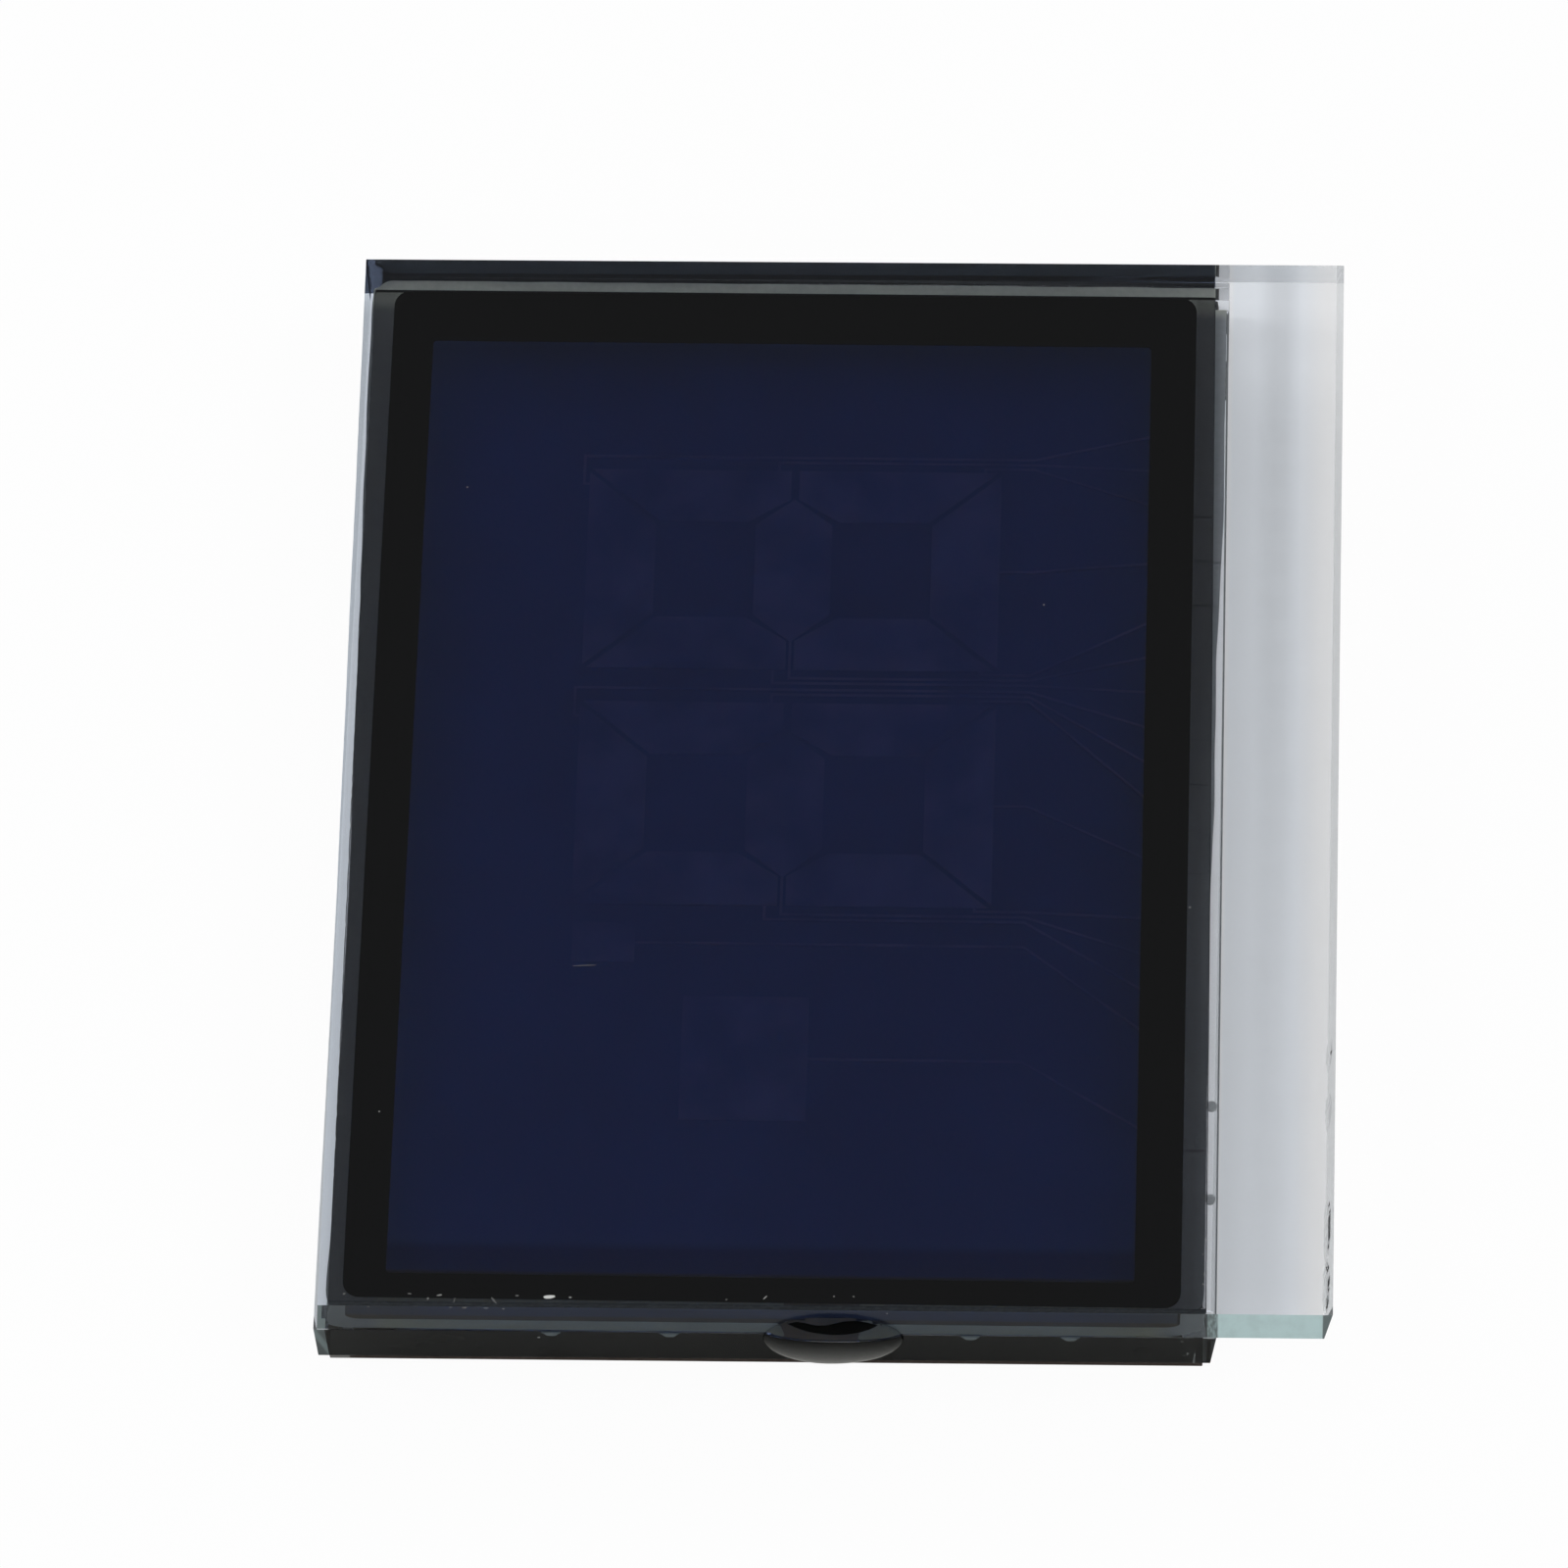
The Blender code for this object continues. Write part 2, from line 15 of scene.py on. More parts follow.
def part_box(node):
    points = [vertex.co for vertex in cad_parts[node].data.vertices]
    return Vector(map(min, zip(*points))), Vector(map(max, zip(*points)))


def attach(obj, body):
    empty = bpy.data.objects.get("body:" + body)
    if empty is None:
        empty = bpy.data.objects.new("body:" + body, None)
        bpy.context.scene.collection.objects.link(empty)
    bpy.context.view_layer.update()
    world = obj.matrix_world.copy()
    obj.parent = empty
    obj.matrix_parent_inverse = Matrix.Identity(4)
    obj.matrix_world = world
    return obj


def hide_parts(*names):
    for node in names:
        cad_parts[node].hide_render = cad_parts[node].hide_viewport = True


bl_info = {
    "name": "LCD Glass Cell",
    "version": (1, 0, 0),
    "blender": (4, 5, 0),
    "location": "3D View > Sidebar > Glass Cell",
    "description": "Dresses a liquid crystal display cell and sets up its studio",
    "category": "Object",
}

MM = 0.001
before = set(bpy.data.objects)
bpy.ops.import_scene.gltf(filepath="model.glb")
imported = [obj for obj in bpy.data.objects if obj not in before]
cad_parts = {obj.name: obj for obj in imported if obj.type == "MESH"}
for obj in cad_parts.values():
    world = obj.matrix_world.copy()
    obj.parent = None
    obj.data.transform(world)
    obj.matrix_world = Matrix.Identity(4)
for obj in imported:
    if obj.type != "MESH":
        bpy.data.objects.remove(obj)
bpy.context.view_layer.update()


class Box:
    """A rectangle in plan, by its left, right, bottom and top edges, with a lowest and highest level."""

    def __init__(self, left, right, bottom, top, low=0.0, high=0.0):
        self.left, self.right, self.bottom, self.top = left, right, bottom, top
        self.low, self.high = low, high

    @classmethod
    def of_node(cls, node):
        low, high = (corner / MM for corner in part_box(node))
        return cls(low.x, high.x, low.y, high.y, low.z, high.z)

    def inset(self, by):
        return Box(self.left + by, self.right - by, self.bottom + by, self.top - by, self.low, self.high)


FRONT_PLATE = Box.of_node("front_glass")
REAR_PLATE = Box.of_node("rear_glass")
FRONT_FILM = Box.of_node("front_polarizer")
REAR_FILM = Box.of_node("rear_polarizer")
PRINT = Box.of_node("black_frame_print")
SEAL = Box.of_node("perimeter_seal")
# The front plate stops a micron above the electrodes, and the fill a micron below, so that no faces share a plane
MICRON = 0.001
FRONT_PLATE.low += MICRON
# The opening of the printed frame, and the thickness of a flake of dust
WINDOW = Box(-7.72, 5.48, -9.9, 8.67)
DUST = 0.006

# Where the corners of the sheets lie off their boxes: lower left, lower right, upper right and upper left
FRONT_PLATE_MOVES = ((0.095, -0.057), (-0.029, 0.021), (-0.007, 0.0), (-0.051, -0.056))
REAR_PLATE_MOVES = ((0.0, -0.06), (0.03, 0.03), (-0.015, 0.0), (0.0, -0.03))
FRONT_FILM_MOVES = ((0.145, -0.087), (0.042, -0.018), (-0.068, -0.05), (0.01, -0.05))
REAR_FILM_MOVES = ((-0.26, -0.075), (0.056, 0.005), (-0.02, 0.13), (-0.255, 0.10))
PRINT_MOVES = ((0.03, -0.05), (0.006, 0.04), (-0.022, 0.0), (0.0, 0.0))


# Shader nodes


class Value:
    """A node's output that takes part in Python arithmetic, where each step adds a Math node."""

    def __init__(self, shader, socket):
        self.shader, self.socket = shader, socket

    def __add__(self, other):
        return self.shader.math("ADD", self, other)

    def __sub__(self, other):
        return self.shader.math("SUBTRACT", self, other)

    def __mul__(self, other):
        return self.shader.math("MULTIPLY", self, other)

    def __radd__(self, other):
        return self.shader.math("ADD", other, self)

    def __rsub__(self, other):
        return self.shader.math("SUBTRACT", other, self)

    def __rmul__(self, other):
        return self.shader.math("MULTIPLY", other, self)

    def step(self, low, high):
        """0 below low and 1 above high, or the other way round, with a smooth turn between."""
        if low > high:
            return 1.0 - self.step(high, low)
        settings = {"interpolation_type": "SMOOTHSTEP"}
        return self.shader.value("ShaderNodeMapRange", settings, {"Value": self, "From Min": low, "From Max": high})


class Shader:
    """A material's or the world's node tree, to which nodes are added one by one."""

    def __init__(self, owner):
        self.owner = owner
        owner.use_nodes = True
        self.tree = owner.node_tree
        self.tree.nodes.clear()

    def add(self, kind, settings=None, sockets=None):
        """One node: its settings first, then the values or links of its sockets."""
        node = self.tree.nodes.new(kind)
        for name, value in (settings or {}).items():
            setattr(node, name, value)
        for name, value in (sockets or {}).items():
            socket = node.inputs[name]
            if isinstance(value, Value):
                self.tree.links.new(value.socket, socket)
            elif isinstance(value, bpy.types.NodeSocket):
                self.tree.links.new(value, socket)
            elif socket.type == "RGBA" and len(value) == 3:
                socket.default_value = (*value, 1.0)
            else:
                socket.default_value = value
        return node

    def value(self, kind, settings=None, sockets=None, output=0):
        return Value(self, self.add(kind, settings, sockets).outputs[output])

    def math(self, operation, first, second):
        return self.value("ShaderNodeMath", {"operation": operation}, {0: first, 1: second})

    def place(self):
        """Where a point is in the part's frame, in millimetres, as x, y and z."""
        metres = self.add("ShaderNodeTexCoord").outputs["Object"]
        spot = self.value("ShaderNodeVectorMath", {"operation": "SCALE"}, {0: metres, "Scale": 1 / MM})
        parts = self.add("ShaderNodeSeparateXYZ", None, {0: spot})
        return spot, [Value(self, output) for output in parts.outputs]

    def grain(self, spot, size, detail=3.0, roughness=0.5):
        """Noise with features of about this size, from 0 to 1."""
        sockets = {"Vector": spot, "Scale": 1 / size, "Detail": detail, "Roughness": roughness}
        return self.value("ShaderNodeTexNoise", None, sockets)

    def blend(self, share, first, second):
        """The first colour where share is 0, and the second where it is 1."""
        factor, a, b, result = 0, 6, 7, 2
        return self.value("ShaderNodeMix", {"data_type": "RGBA"}, {factor: share, a: first, b: second}, result)

    def bump(self, height, distance):
        return self.value("ShaderNodeBump", None, {"Height": height, "Distance": distance * MM, "Strength": 1.0})

    def finish(self, surface):
        """Ends the tree with this shader node, and gives back the material or the world."""
        kind = "ShaderNodeOutputWorld" if isinstance(self.owner, bpy.types.World) else "ShaderNodeOutputMaterial"
        self.add(kind, None, {"Surface": surface.outputs[0]})
        return self.owner

    def principled(self, sockets):
        return self.finish(self.add("ShaderNodeBsdfPrincipled", None, sockets))


def new_material(name):
    return Shader(bpy.data.materials.new(name))


def scaled(colour, share):
    return [channel * share for channel in colour]


WHITE = (1.0, 1.0, 1.0)
BLACK = (0.0, 0.0, 0.0)
SHEEN = (0.9, 0.9, 0.84)
GLASS_IOR = 1.52


def plate_glass(colours):
    """Polished float glass, with a breath of haze, painted shade in the faint bands along the ledge's length, and
    painted light at the ledge's right edge and on the strip beside the film.
    """
    shader = new_material("plate_glass")
    spot, (x, y, _) = shader.place()
    haze = shader.grain(spot, 3.0).step(0.5, 0.8) * 0.02
    # Painted shade: a darker band along the ledge, stronger towards the far end
    middle = x.step(7.35, 7.8) * x.step(8.3, 7.9)
    # Painted light: towards its right edge the ledge is left untinted
    lit_rim = x.step(8.1, 8.75)
    strength = 0.35 + y.step(-6.0, 9.0) * 0.4
    tint = shader.blend(middle * strength, colours.glass, scaled(colours.glass, 0.8))
    tint = shader.blend(lit_rim, tint, WHITE)
    # Painted light: a paler tint on the strip beside the film's right edge
    lit_strip = x.step(6.55, 6.65) * x.step(7.0, 6.92)
    sockets = {
        "Base Color": shader.blend(lit_strip, tint, colours.lit_glass_strip),
        "Roughness": haze,
        "IOR": GLASS_IOR,
        "Transmission Weight": 1.0,
    }
    return shader.principled(sockets)


def clear_solid(name, tint, inner, haze, mirror, mirror_low=None):
    """Clear stuff that mirrors little from outside, while its inner faces still mirror in full.

    With mirror_low, the outside mirrors more towards the floor than at the top."""
    shader = new_material(name)
    spot, (_, _, z) = shader.place()
    cloud = shader.grain(spot, 0.15).step(0.45, 0.8)
    roughness = haze + cloud * haze
    share = shader.value("ShaderNodeFresnel", None, {"IOR": GLASS_IOR}) * mirror
    if mirror_low:
        share = share * (0.08 + z.step(1.7, 0.2) * mirror_low)
    clear = shader.add("ShaderNodeBsdfRefraction", None, {"Color": tint, "Roughness": roughness, "IOR": GLASS_IOR})
    sheen = shader.add("ShaderNodeBsdfAnisotropic", None, {"Color": SHEEN, "Roughness": 0.1})
    outside = shader.add("ShaderNodeMixShader", None, {0: share, 1: clear.outputs[0], 2: sheen.outputs[0]})
    inside = shader.add("ShaderNodeBsdfGlass", None, {"Color": inner, "Roughness": roughness, "IOR": GLASS_IOR})
    back = shader.value("ShaderNodeNewGeometry", output="Backfacing")
    mixed = shader.add("ShaderNodeMixShader", None, {0: back, 1: outside.outputs[0], 2: inside.outputs[0]})
    return shader.finish(mixed)


def painted_light_cut_face(colours):
    """The ends of the plates' clear margins, painted: pale green at the ledge is painted light, where light from its
    whole length comes out, and its darker copies are painted shade.
    """
    shader = new_material("painted_light_cut_face")
    _, (x, _, z) = shader.place()
    line = shader.value("ShaderNodeCombineXYZ", None, {0: x, 1: z * 0.4})
    streak = shader.grain(line, 0.25, 4.0).step(0.35, 0.75)
    upright = shader.value("ShaderNodeCombineXYZ", None, {0: x, 1: z * 0.15})
    crack = shader.grain(upright, 0.06).step(0.4, 0.6)
    cut = colours.ledge_cut_light
    # Painted light: the pale green where light comes out of the ledge. Painted shade: the darker copies beside it and
    # past its right end
    pale = shader.blend(streak, cut, scaled(cut, 0.9))
    dark = shader.blend(crack, scaled(cut, 0.45), scaled(cut, 0.2))
    ledge = shader.blend(x.step(6.97, 6.93), pale, dark)
    ledge = shader.blend(x.step(8.78, 8.81), ledge, scaled(cut, 0.2))
    # Painted shade at the left end, darker low down, with a rounded lighter band of painted light
    arc = z + (x + 8.97) * 4.0
    corner = shader.blend(z.step(1.2, 1.4), scaled(cut, 0.09), scaled(cut, 0.25))
    corner = shader.blend(arc.step(0.5, 0.75) * arc.step(1.3, 0.95), corner, scaled(cut, 0.24))
    sockets = {
        "Base Color": shader.blend(x.step(0.1, -0.1), ledge, corner),
        "Roughness": 0.3,
        "Specular IOR Level": 0.15,
        "Normal": shader.bump(streak, 0.004),
    }
    return shader.principled(sockets)


def bonded_face():
    """A face that is glued to its neighbour, so that nothing is mirrored or bent there."""
    shader = new_material("bonded_face")
    return shader.finish(shader.add("ShaderNodeBsdfTransparent", None, {"Color": WHITE}))


def film_face(colours):
    """The polarizer's outer face: smooth dark film with faint scuffs, which turns what shows in the window blue. Its
    right margin has painted light towards the port end and painted shade towards the far end.
    """
    shader = new_material("film_face")
    spot, (x, y, _) = shader.place()
    scuff = shader.grain(spot, 0.9, 5.0).step(0.45, 0.85)
    soft = 0.05
    window = (
        x.step(WINDOW.left - soft, WINDOW.left + soft)
        * x.step(WINDOW.right + soft, WINDOW.right - soft)
        * y.step(WINDOW.bottom - soft, WINDOW.bottom + soft)
        * y.step(WINDOW.top + soft, WINDOW.top - soft)
    )
    lit_rim = x.step(PRINT.right + 0.15, FRONT_FILM.right)
    # Painted light: the right margin lighter towards the port end
    painted_light_margin = lit_rim * y.step(6.0, -2.0) * 0.4
    # Painted shade: the margin beside the frame darker towards the far end
    painted_shade_margin = x.step(6.2, 6.35) * y.step(-4.0, 3.0)
    margin = shader.blend(painted_light_margin, colours.film, scaled(colours.film, 2.0))
    margin = shader.blend(painted_shade_margin, margin, scaled(colours.film, 0.45))
    sockets = {
        "Base Color": shader.blend(window, margin, colours.window_film),
        "Roughness": 0.04 + scuff * 0.03,
        "IOR": 1.5,
        "Transmission Weight": 1.0,
    }
    return shader.principled(sockets)


def film_edge(name, colour, corner=None):
    """The cut edge of a laminated film. Its lower left corner takes another colour if one is given, as painted shade:
    the grey of the shadowed floor where the film falls short.
    """
    shader = new_material(name)
    spot, (x, y, _) = shader.place()
    layer = shader.grain(spot, 0.09).step(0.35, 0.7)
    edge = shader.blend(layer, colour, scaled(colour, 1.6))
    if corner:
        # Painted shade: the grey of the shadowed floor at the lower left corner
        edge = shader.blend(x.step(-8.49, -8.52) * y.step(-10.2, -10.3), edge, corner)
    sockets = {
        "Base Color": edge,
        "Roughness": 0.6,
        "Specular IOR Level": 0.05,
        "Normal": shader.bump(layer, 0.01),
    }
    return shader.principled(sockets)


def dull(name, colour, roughness, size, depth, spread=0.3, gloss=0.0):
    """A cured, printed or moulded surface with a grain of this size and depth. Under glass or film it has no gloss."""
    shader = new_material(name)
    spot, _ = shader.place()
    grain = shader.grain(spot, size, 4.0)
    sockets = {
        "Base Color": shader.blend(grain, scaled(colour, 1 - spread), scaled(colour, 1 + spread)),
        "Roughness": roughness + grain * 0.1,
        "Specular IOR Level": gloss,
        "Normal": shader.bump(grain, depth),
    }
    return shader.principled(sockets)


def rear_film_under_glass(colours):
    """The rear film's upper face, with painted shade that makes it darker towards the far side of the cell."""
    shader = new_material("rear_film_under_glass")
    _, (_, y, _) = shader.place()
    sockets = {
        # Painted shade: darker towards the far side
        "Base Color": shader.blend(y.step(0.0, 9.0), colours.rear_film, scaled(colours.rear_film, 0.3)),
        "Roughness": 0.5,
        "Specular IOR Level": 0.0,
    }
    return shader.principled(sockets)


def crystal_fill(colours):
    """The fill between the plates: blue as the films show it, with painted shade towards the port, and plain where it
    is seen through the cut face.
    """
    shader = new_material("crystal_fill")
    spot, (_, y, _) = shader.place()
    cloud = shader.grain(spot, 4.0).step(0.3, 0.7) * 0.12
    fill = shader.blend(cloud, colours.crystal, BLACK)
    # Painted shade: the fill darker and less blue towards the port
    fill = shader.blend(y.step(-8.9, -9.15), fill, colours.near_port_shade)
    sockets = {
        "Base Color": shader.blend(y.step(-9.5, -9.65), fill, colours.port_side),
        "Roughness": 0.4,
        "Specular IOR Level": 0.0,
    }
    return shader.principled(sockets)


def seal_adhesive(colours):
    """Cured adhesive, speckled with filler, with painted light beside the ledge and at the two ends."""
    shader = new_material("seal_adhesive")
    spot, (x, y, _) = shader.place()
    filler = shader.grain(spot, 0.12, 4.0)
    # Painted light: lighter and warmer on the port side
    port_side = y.step(-9.2, -9.7) * x.step(-8.2, -7.6) * x.step(6.2, 5.6)
    tone = shader.blend(port_side, colours.seal, colours.lit_port_seal)
    # Painted light: the seal lighter beside the ledge
    tone = shader.blend(x.step(6.66, 6.88) * 0.8, tone, scaled(colours.seal, 1.7))
    # Painted light: a light line along the far end
    tone = shader.blend(y.step(9.6, 9.9), tone, colours.lit_far_seal)
    sockets = {
        "Base Color": shader.blend(filler * 0.3, tone, (0.1, 0.1, 0.1)),
        "Roughness": 0.5,
        "Specular IOR Level": 0.0,
        "Normal": shader.bump(filler, 0.003),
    }
    return shader.principled(sockets)


# How much of the electrodes shows on the bare ledge
BARE_OXIDE = 0.0005


def clear_oxide(colours):
    """Conductive film: over the fill it shifts the colour a little, and on the bare ledge it hardly shows."""
    shader = new_material("clear_oxide")
    spot, (x, _, _) = shader.place()
    patch = shader.grain(spot, 1.5)
    cover = x.step(REAR_PLATE.right - 0.6, REAR_PLATE.right - 1.2)
    sockets = {
        "Base Color": shader.blend(patch.step(0.3, 0.7), colours.crystal, colours.oxide),
        "Roughness": 0.3,
        "Specular IOR Level": 0.0,
        "Alpha": BARE_OXIDE + cover * (1.0 - BARE_OXIDE),
    }
    return shader.principled(sockets)


def dust_flakes(colours):
    """Dust: mostly grey, with one white flake."""
    shader = new_material("dust")
    spot, (x, y, _) = shader.place()
    grain = shader.grain(spot, 0.25)
    white = x.step(-4.95, -4.93) * x.step(-4.65, -4.67) * y.step(-10.2, -10.3)
    grey = shader.blend(grain.step(0.35, 0.65), scaled(colours.dust, 0.14), scaled(colours.dust, 0.5))
    sockets = {
        "Base Color": shader.blend(white, grey, colours.dust),
        "Roughness": 0.8,
        "Normal": shader.bump(shader.grain(spot, 0.02), 0.002),
    }
    return shader.principled(sockets)


# Meshes


SIDE_STEPS = 260
ARC_STEPS = 8
CORNER = 0.012


def ring(box, *radii):
    """The box's outline as points, anticlockwise from its lower left corner, the same number for every box.

    It takes one radius for all corners, or four: lower left, lower right, upper right and upper left."""
    radii = (radii or (CORNER,)) * (1 if len(radii) == 4 else 4)
    corners = []
    for radius, (x, y, start) in zip(
        radii,
        ((box.left, box.bottom, 180), (box.right, box.bottom, 270), (box.right, box.top, 0), (box.left, box.top, 90)),
    ):
        inward = 1 if x == box.left else -1, 1 if y == box.bottom else -1
        middle = x + inward[0] * radius, y + inward[1] * radius
        arc = []
        for j in range(ARC_STEPS + 1):
            angle = math.radians(start + 90 * j / ARC_STEPS)
            arc.append((middle[0] + radius * math.cos(angle), middle[1] + radius * math.sin(angle)))
        corners.append(arc)
    points = []
    for arc, following in zip(corners, corners[1:] + corners[:1]):
        points += arc
        here, ahead = arc[-1], following[0]
        for j in range(1, SIDE_STEPS):
            points.append(tuple(a + (b - a) * j / SIDE_STEPS for a, b in zip(here, ahead)))
    return points


def loft(name, rings, slot_of, materials, uneven=()):
    """A closed mesh through the rings, from the lowest cap to the highest.

    slot_of gives a face's material slot from its band, which is 0 for the first cap, and from its middle. A band
    is named in uneven if its two rings have different outlines, and it is then filled with triangles."""
    bm = bmesh.new()
    loops = [[bm.verts.new((x * MM, y * MM, z * MM)) for x, y, z in points] for points in rings]
    faces = [(0, loops[0][::-1])]
    for band, (low, high) in enumerate(zip(loops, loops[1:]), 1):
        if band in uneven:
            outlines = [[Vector((v.co.x, v.co.y, 0.0)) / MM for v in loop] for loop in (low, high)]
            corners = [*low, *high]
            faces += [(band, [corners[i] for i in triangle]) for triangle in tessellate_polygon(outlines)]
            continue
        faces += [
            (band, (low[i], low[(i + 1) % len(low)], high[(i + 1) % len(low)], high[i])) for i in range(len(low))
        ]
    faces.append((len(rings), loops[-1]))
    for band, corners in faces:
        face = bm.faces.new(corners)
        face.material_index = slot_of(band, face.calc_center_median() / MM)
    if uneven:
        bmesh.ops.recalc_face_normals(bm, faces=bm.faces)
    return add_piece(name, bm, materials)


def add_piece(name, bm, materials):
    mesh = bpy.data.meshes.new(name)
    bm.to_mesh(mesh)
    bm.free()
    for material in materials:
        mesh.materials.append(material)
    piece = bpy.data.objects.new(name, mesh)
    bpy.context.scene.collection.objects.link(piece)
    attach(piece, "root")
    return piece


def ripple(*place, size=1.0):
    """Smooth noise from -1 to 1."""
    x, y, z = (*place, 0.0, 0.0)[:3]
    return noise.noise(Vector((x, y, z)) / size)


def stand_in(piece, node):
    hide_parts(node)


def at_level(points, z):
    return [(x, y, z) for x, y in points]


def moved(box, moves, x, y):
    """A point of the box after its corners have moved."""
    u = (x - box.left) / (box.right - box.left)
    v = (y - box.bottom) / (box.top - box.bottom)
    low_left, low_right, high_right, high_left = moves
    dx, dy = (
        (low_left[i] * (1 - u) + low_right[i] * u) * (1 - v) + (high_left[i] * (1 - u) + high_right[i] * u) * v
        for i in (0, 1)
    )
    return x + dx, y + dy


def shifted(box, moves, points):
    return [moved(box, moves, x, y) for x, y in points]


def flake(bm, seed, middle, along, across, down):
    """A thin flake with an uneven outline, from its middle, half its length, half its width and its depth."""
    sides = 9
    levels = ([], [])
    for j in range(sides):
        a = math.tau * j / sides
        reach = 1 + 0.35 * ripple(seed * 3.7, j * 1.3, 2.0)
        spot = middle + (along * math.cos(a) + across * math.sin(a)) * reach
        for level, corners in zip((spot, spot + down), levels):
            corners.append(bm.verts.new(level * MM))
    upper, lower = levels
    faces = [bm.faces.new(upper), bm.faces.new(lower[::-1])]
    for j in range(sides):
        k = (j + 1) % sides
        faces.append(bm.faces.new((upper[k], upper[j], lower[j], lower[k])))
    bmesh.ops.recalc_face_normals(bm, faces=faces)


def upright(bm, outline, near, far):
    """An upright sheet from its outline in x and z."""
    front, back = ([bm.verts.new(Vector((x, y, z)) * MM) for x, z in outline] for y in (near, far))
    faces = []
    for a, b, c in tessellate_polygon([[Vector((x, z, 0)) for x, z in outline]]):
        faces += [bm.faces.new((front[a], front[b], front[c])), bm.faces.new((back[c], back[b], back[a]))]
    for i in range(len(outline)):
        j = (i + 1) % len(outline)
        faces.append(bm.faces.new((front[j], front[i], back[i], back[j])))
    bmesh.ops.recalc_face_normals(bm, faces=faces)


# How far the cut faces wave, and which share of a plate's width and length counts as its sides and ends
WAVE = 0.006
SIDE_BAND, END_BAND = 0.02, 0.01
# Half the height of a shell-shaped break, as a share of the plate's thickness
CHIP_HEIGHT = 0.45


class Plate:
    """A glass plate whose outline departs a little from its box, as a scored and broken sheet does."""

    def __init__(self, box, moves, seed, slants, foot, chips=()):
        self.box, self.moves, self.seed, self.slants = box, moves, seed, slants
        self.foot, self.chips = foot, chips

    def point(self, x, y, z):
        box = self.box
        u = (x - box.left) / (box.right - box.left)
        v = (y - box.bottom) / (box.top - box.bottom)
        depth = (box.high - z) / (box.high - box.low)
        dx = dy = 0.0
        left, low_right, high_right = self.slants
        if u < SIDE_BAND:
            dx -= left * depth * (1 - v)
            dx += WAVE * (1 + ripple(y, self.seed, size=2.5)) + 0.5 * WAVE * ripple(y, z, self.seed, size=0.25)
        if u > 1 - SIDE_BAND:
            dx -= 0.3 * WAVE * (1 + ripple(y, self.seed + 7, size=6.0))
            dx -= depth * (low_right * (1 - v) + high_right * v)
            dx -= self.chip(y, depth)
        if v < END_BAND:
            dy += WAVE * (1 + ripple(x, self.seed + 3, size=3.0)) * depth - self.foot * depth
        if v > 1 - END_BAND:
            dy -= WAVE * (1 + ripple(x, self.seed + 5, size=3.0)) * depth
        x, y = moved(box, self.moves, x, y)
        return x + dx, y + dy, z

    def chip(self, y, depth):
        """How far a shell-shaped break bites into the right side there."""
        bite = 0.0
        for middle, reach, bottom, deep in self.chips:
            along = (y - middle) / reach
            down = (depth - bottom) / CHIP_HEIGHT
            share = 1 - along * along - down * down
            if share > 0:
                bite = max(bite, deep * math.sqrt(share) * (1 + 0.3 * ripple(y, depth, size=0.08)))
        return bite

    def level(self, z):
        return [self.point(x, y, z) for x, y in ring(self.box)]

    def levels(self, steps=9):
        box = self.box
        return [self.level(box.low + (box.high - box.low) * i / steps) for i in range(steps + 1)]


# The glass finishes, in the order of glass_slots
POLISHED, SCRIBED, BONDED, PAINTED_LIGHT_CUT, SHADED_SCORE_LINE, FAR_CUT_SHADE = range(6)
# The resin dome: the place of its middle in x and z, its width, height and bulge, and its flat back in y
PLUG_ACROSS, PLUG_MIDDLE = 0.14, 1.13
PLUG_WIDTH, PLUG_HEIGHT, PLUG_BULGE = 2.45, 2.00, 0.24
PLUG_BACK = -10.46


def under_plug(spot):
    """True on the cut faces that the resin covers."""
    across = (spot.x - PLUG_ACROSS) / (PLUG_WIDTH / 2)
    up = (spot.z - PLUG_MIDDLE) / (PLUG_HEIGHT / 2)
    return spot.y < FRONT_PLATE.bottom + 0.2 and across * across + up * up < 0.9


def open_slot(spot):
    """The finish of a polished face."""
    return BONDED if under_plug(spot) else POLISHED


def cut_slot(spot):
    """The finish of a cut face."""
    if under_plug(spot):
        return BONDED
    on_ledge = spot.x > 6.74 and spot.z > FRONT_PLATE.low + 0.05
    if spot.y < FRONT_PLATE.bottom + 0.2 and (on_ledge or spot.x < -8.84):
        return PAINTED_LIGHT_CUT
    return FAR_CUT_SHADE if spot.y > FRONT_PLATE.top - 0.2 and spot.x < SEAL.right else SCRIBED


def smooth(low, high, value):
    """0 at low and 1 at high, with a smooth turn between."""
    share = min(1.0, max(0.0, (value - low) / (high - low)))
    return share * share * (3 - 2 * share)


# How far the seal was pressed out at its far end, where its part beside the ledge ends, and where its drops lie
SEAL_TOP_SPREAD = 0.20
SEAL_END = 9.86
SEAL_LUMPS = (-4.844, -2.743, 2.58, 4.345)
SEAL_INNER = Box(-8.52, 6.28, -9.85, 9.75)
# The filling port in plan: its sides, the seal's lips at them, and the resin that was drawn in
PORT_LEFT, PORT_RIGHT = -0.80, 0.72
LEFT_LIP = ((-0.92, -10.34), (-0.86, -10.42), (-0.74, -10.43), (-0.66, -10.36), (-0.66, -10.22), (-0.74, -10.0))
RIGHT_LIP = (
    (0.78, -9.93), (0.66, -10.0), (0.60, -10.15), (0.58, -10.33), (0.64, -10.43), (0.86, -10.42), (1.1, -10.34),
)
PORT_FILL = ((-0.68, -10.42), (0.60, -10.42), (0.62, -9.9), (0.62, -9.7), (-0.70, -9.7), (-0.70, -9.9))


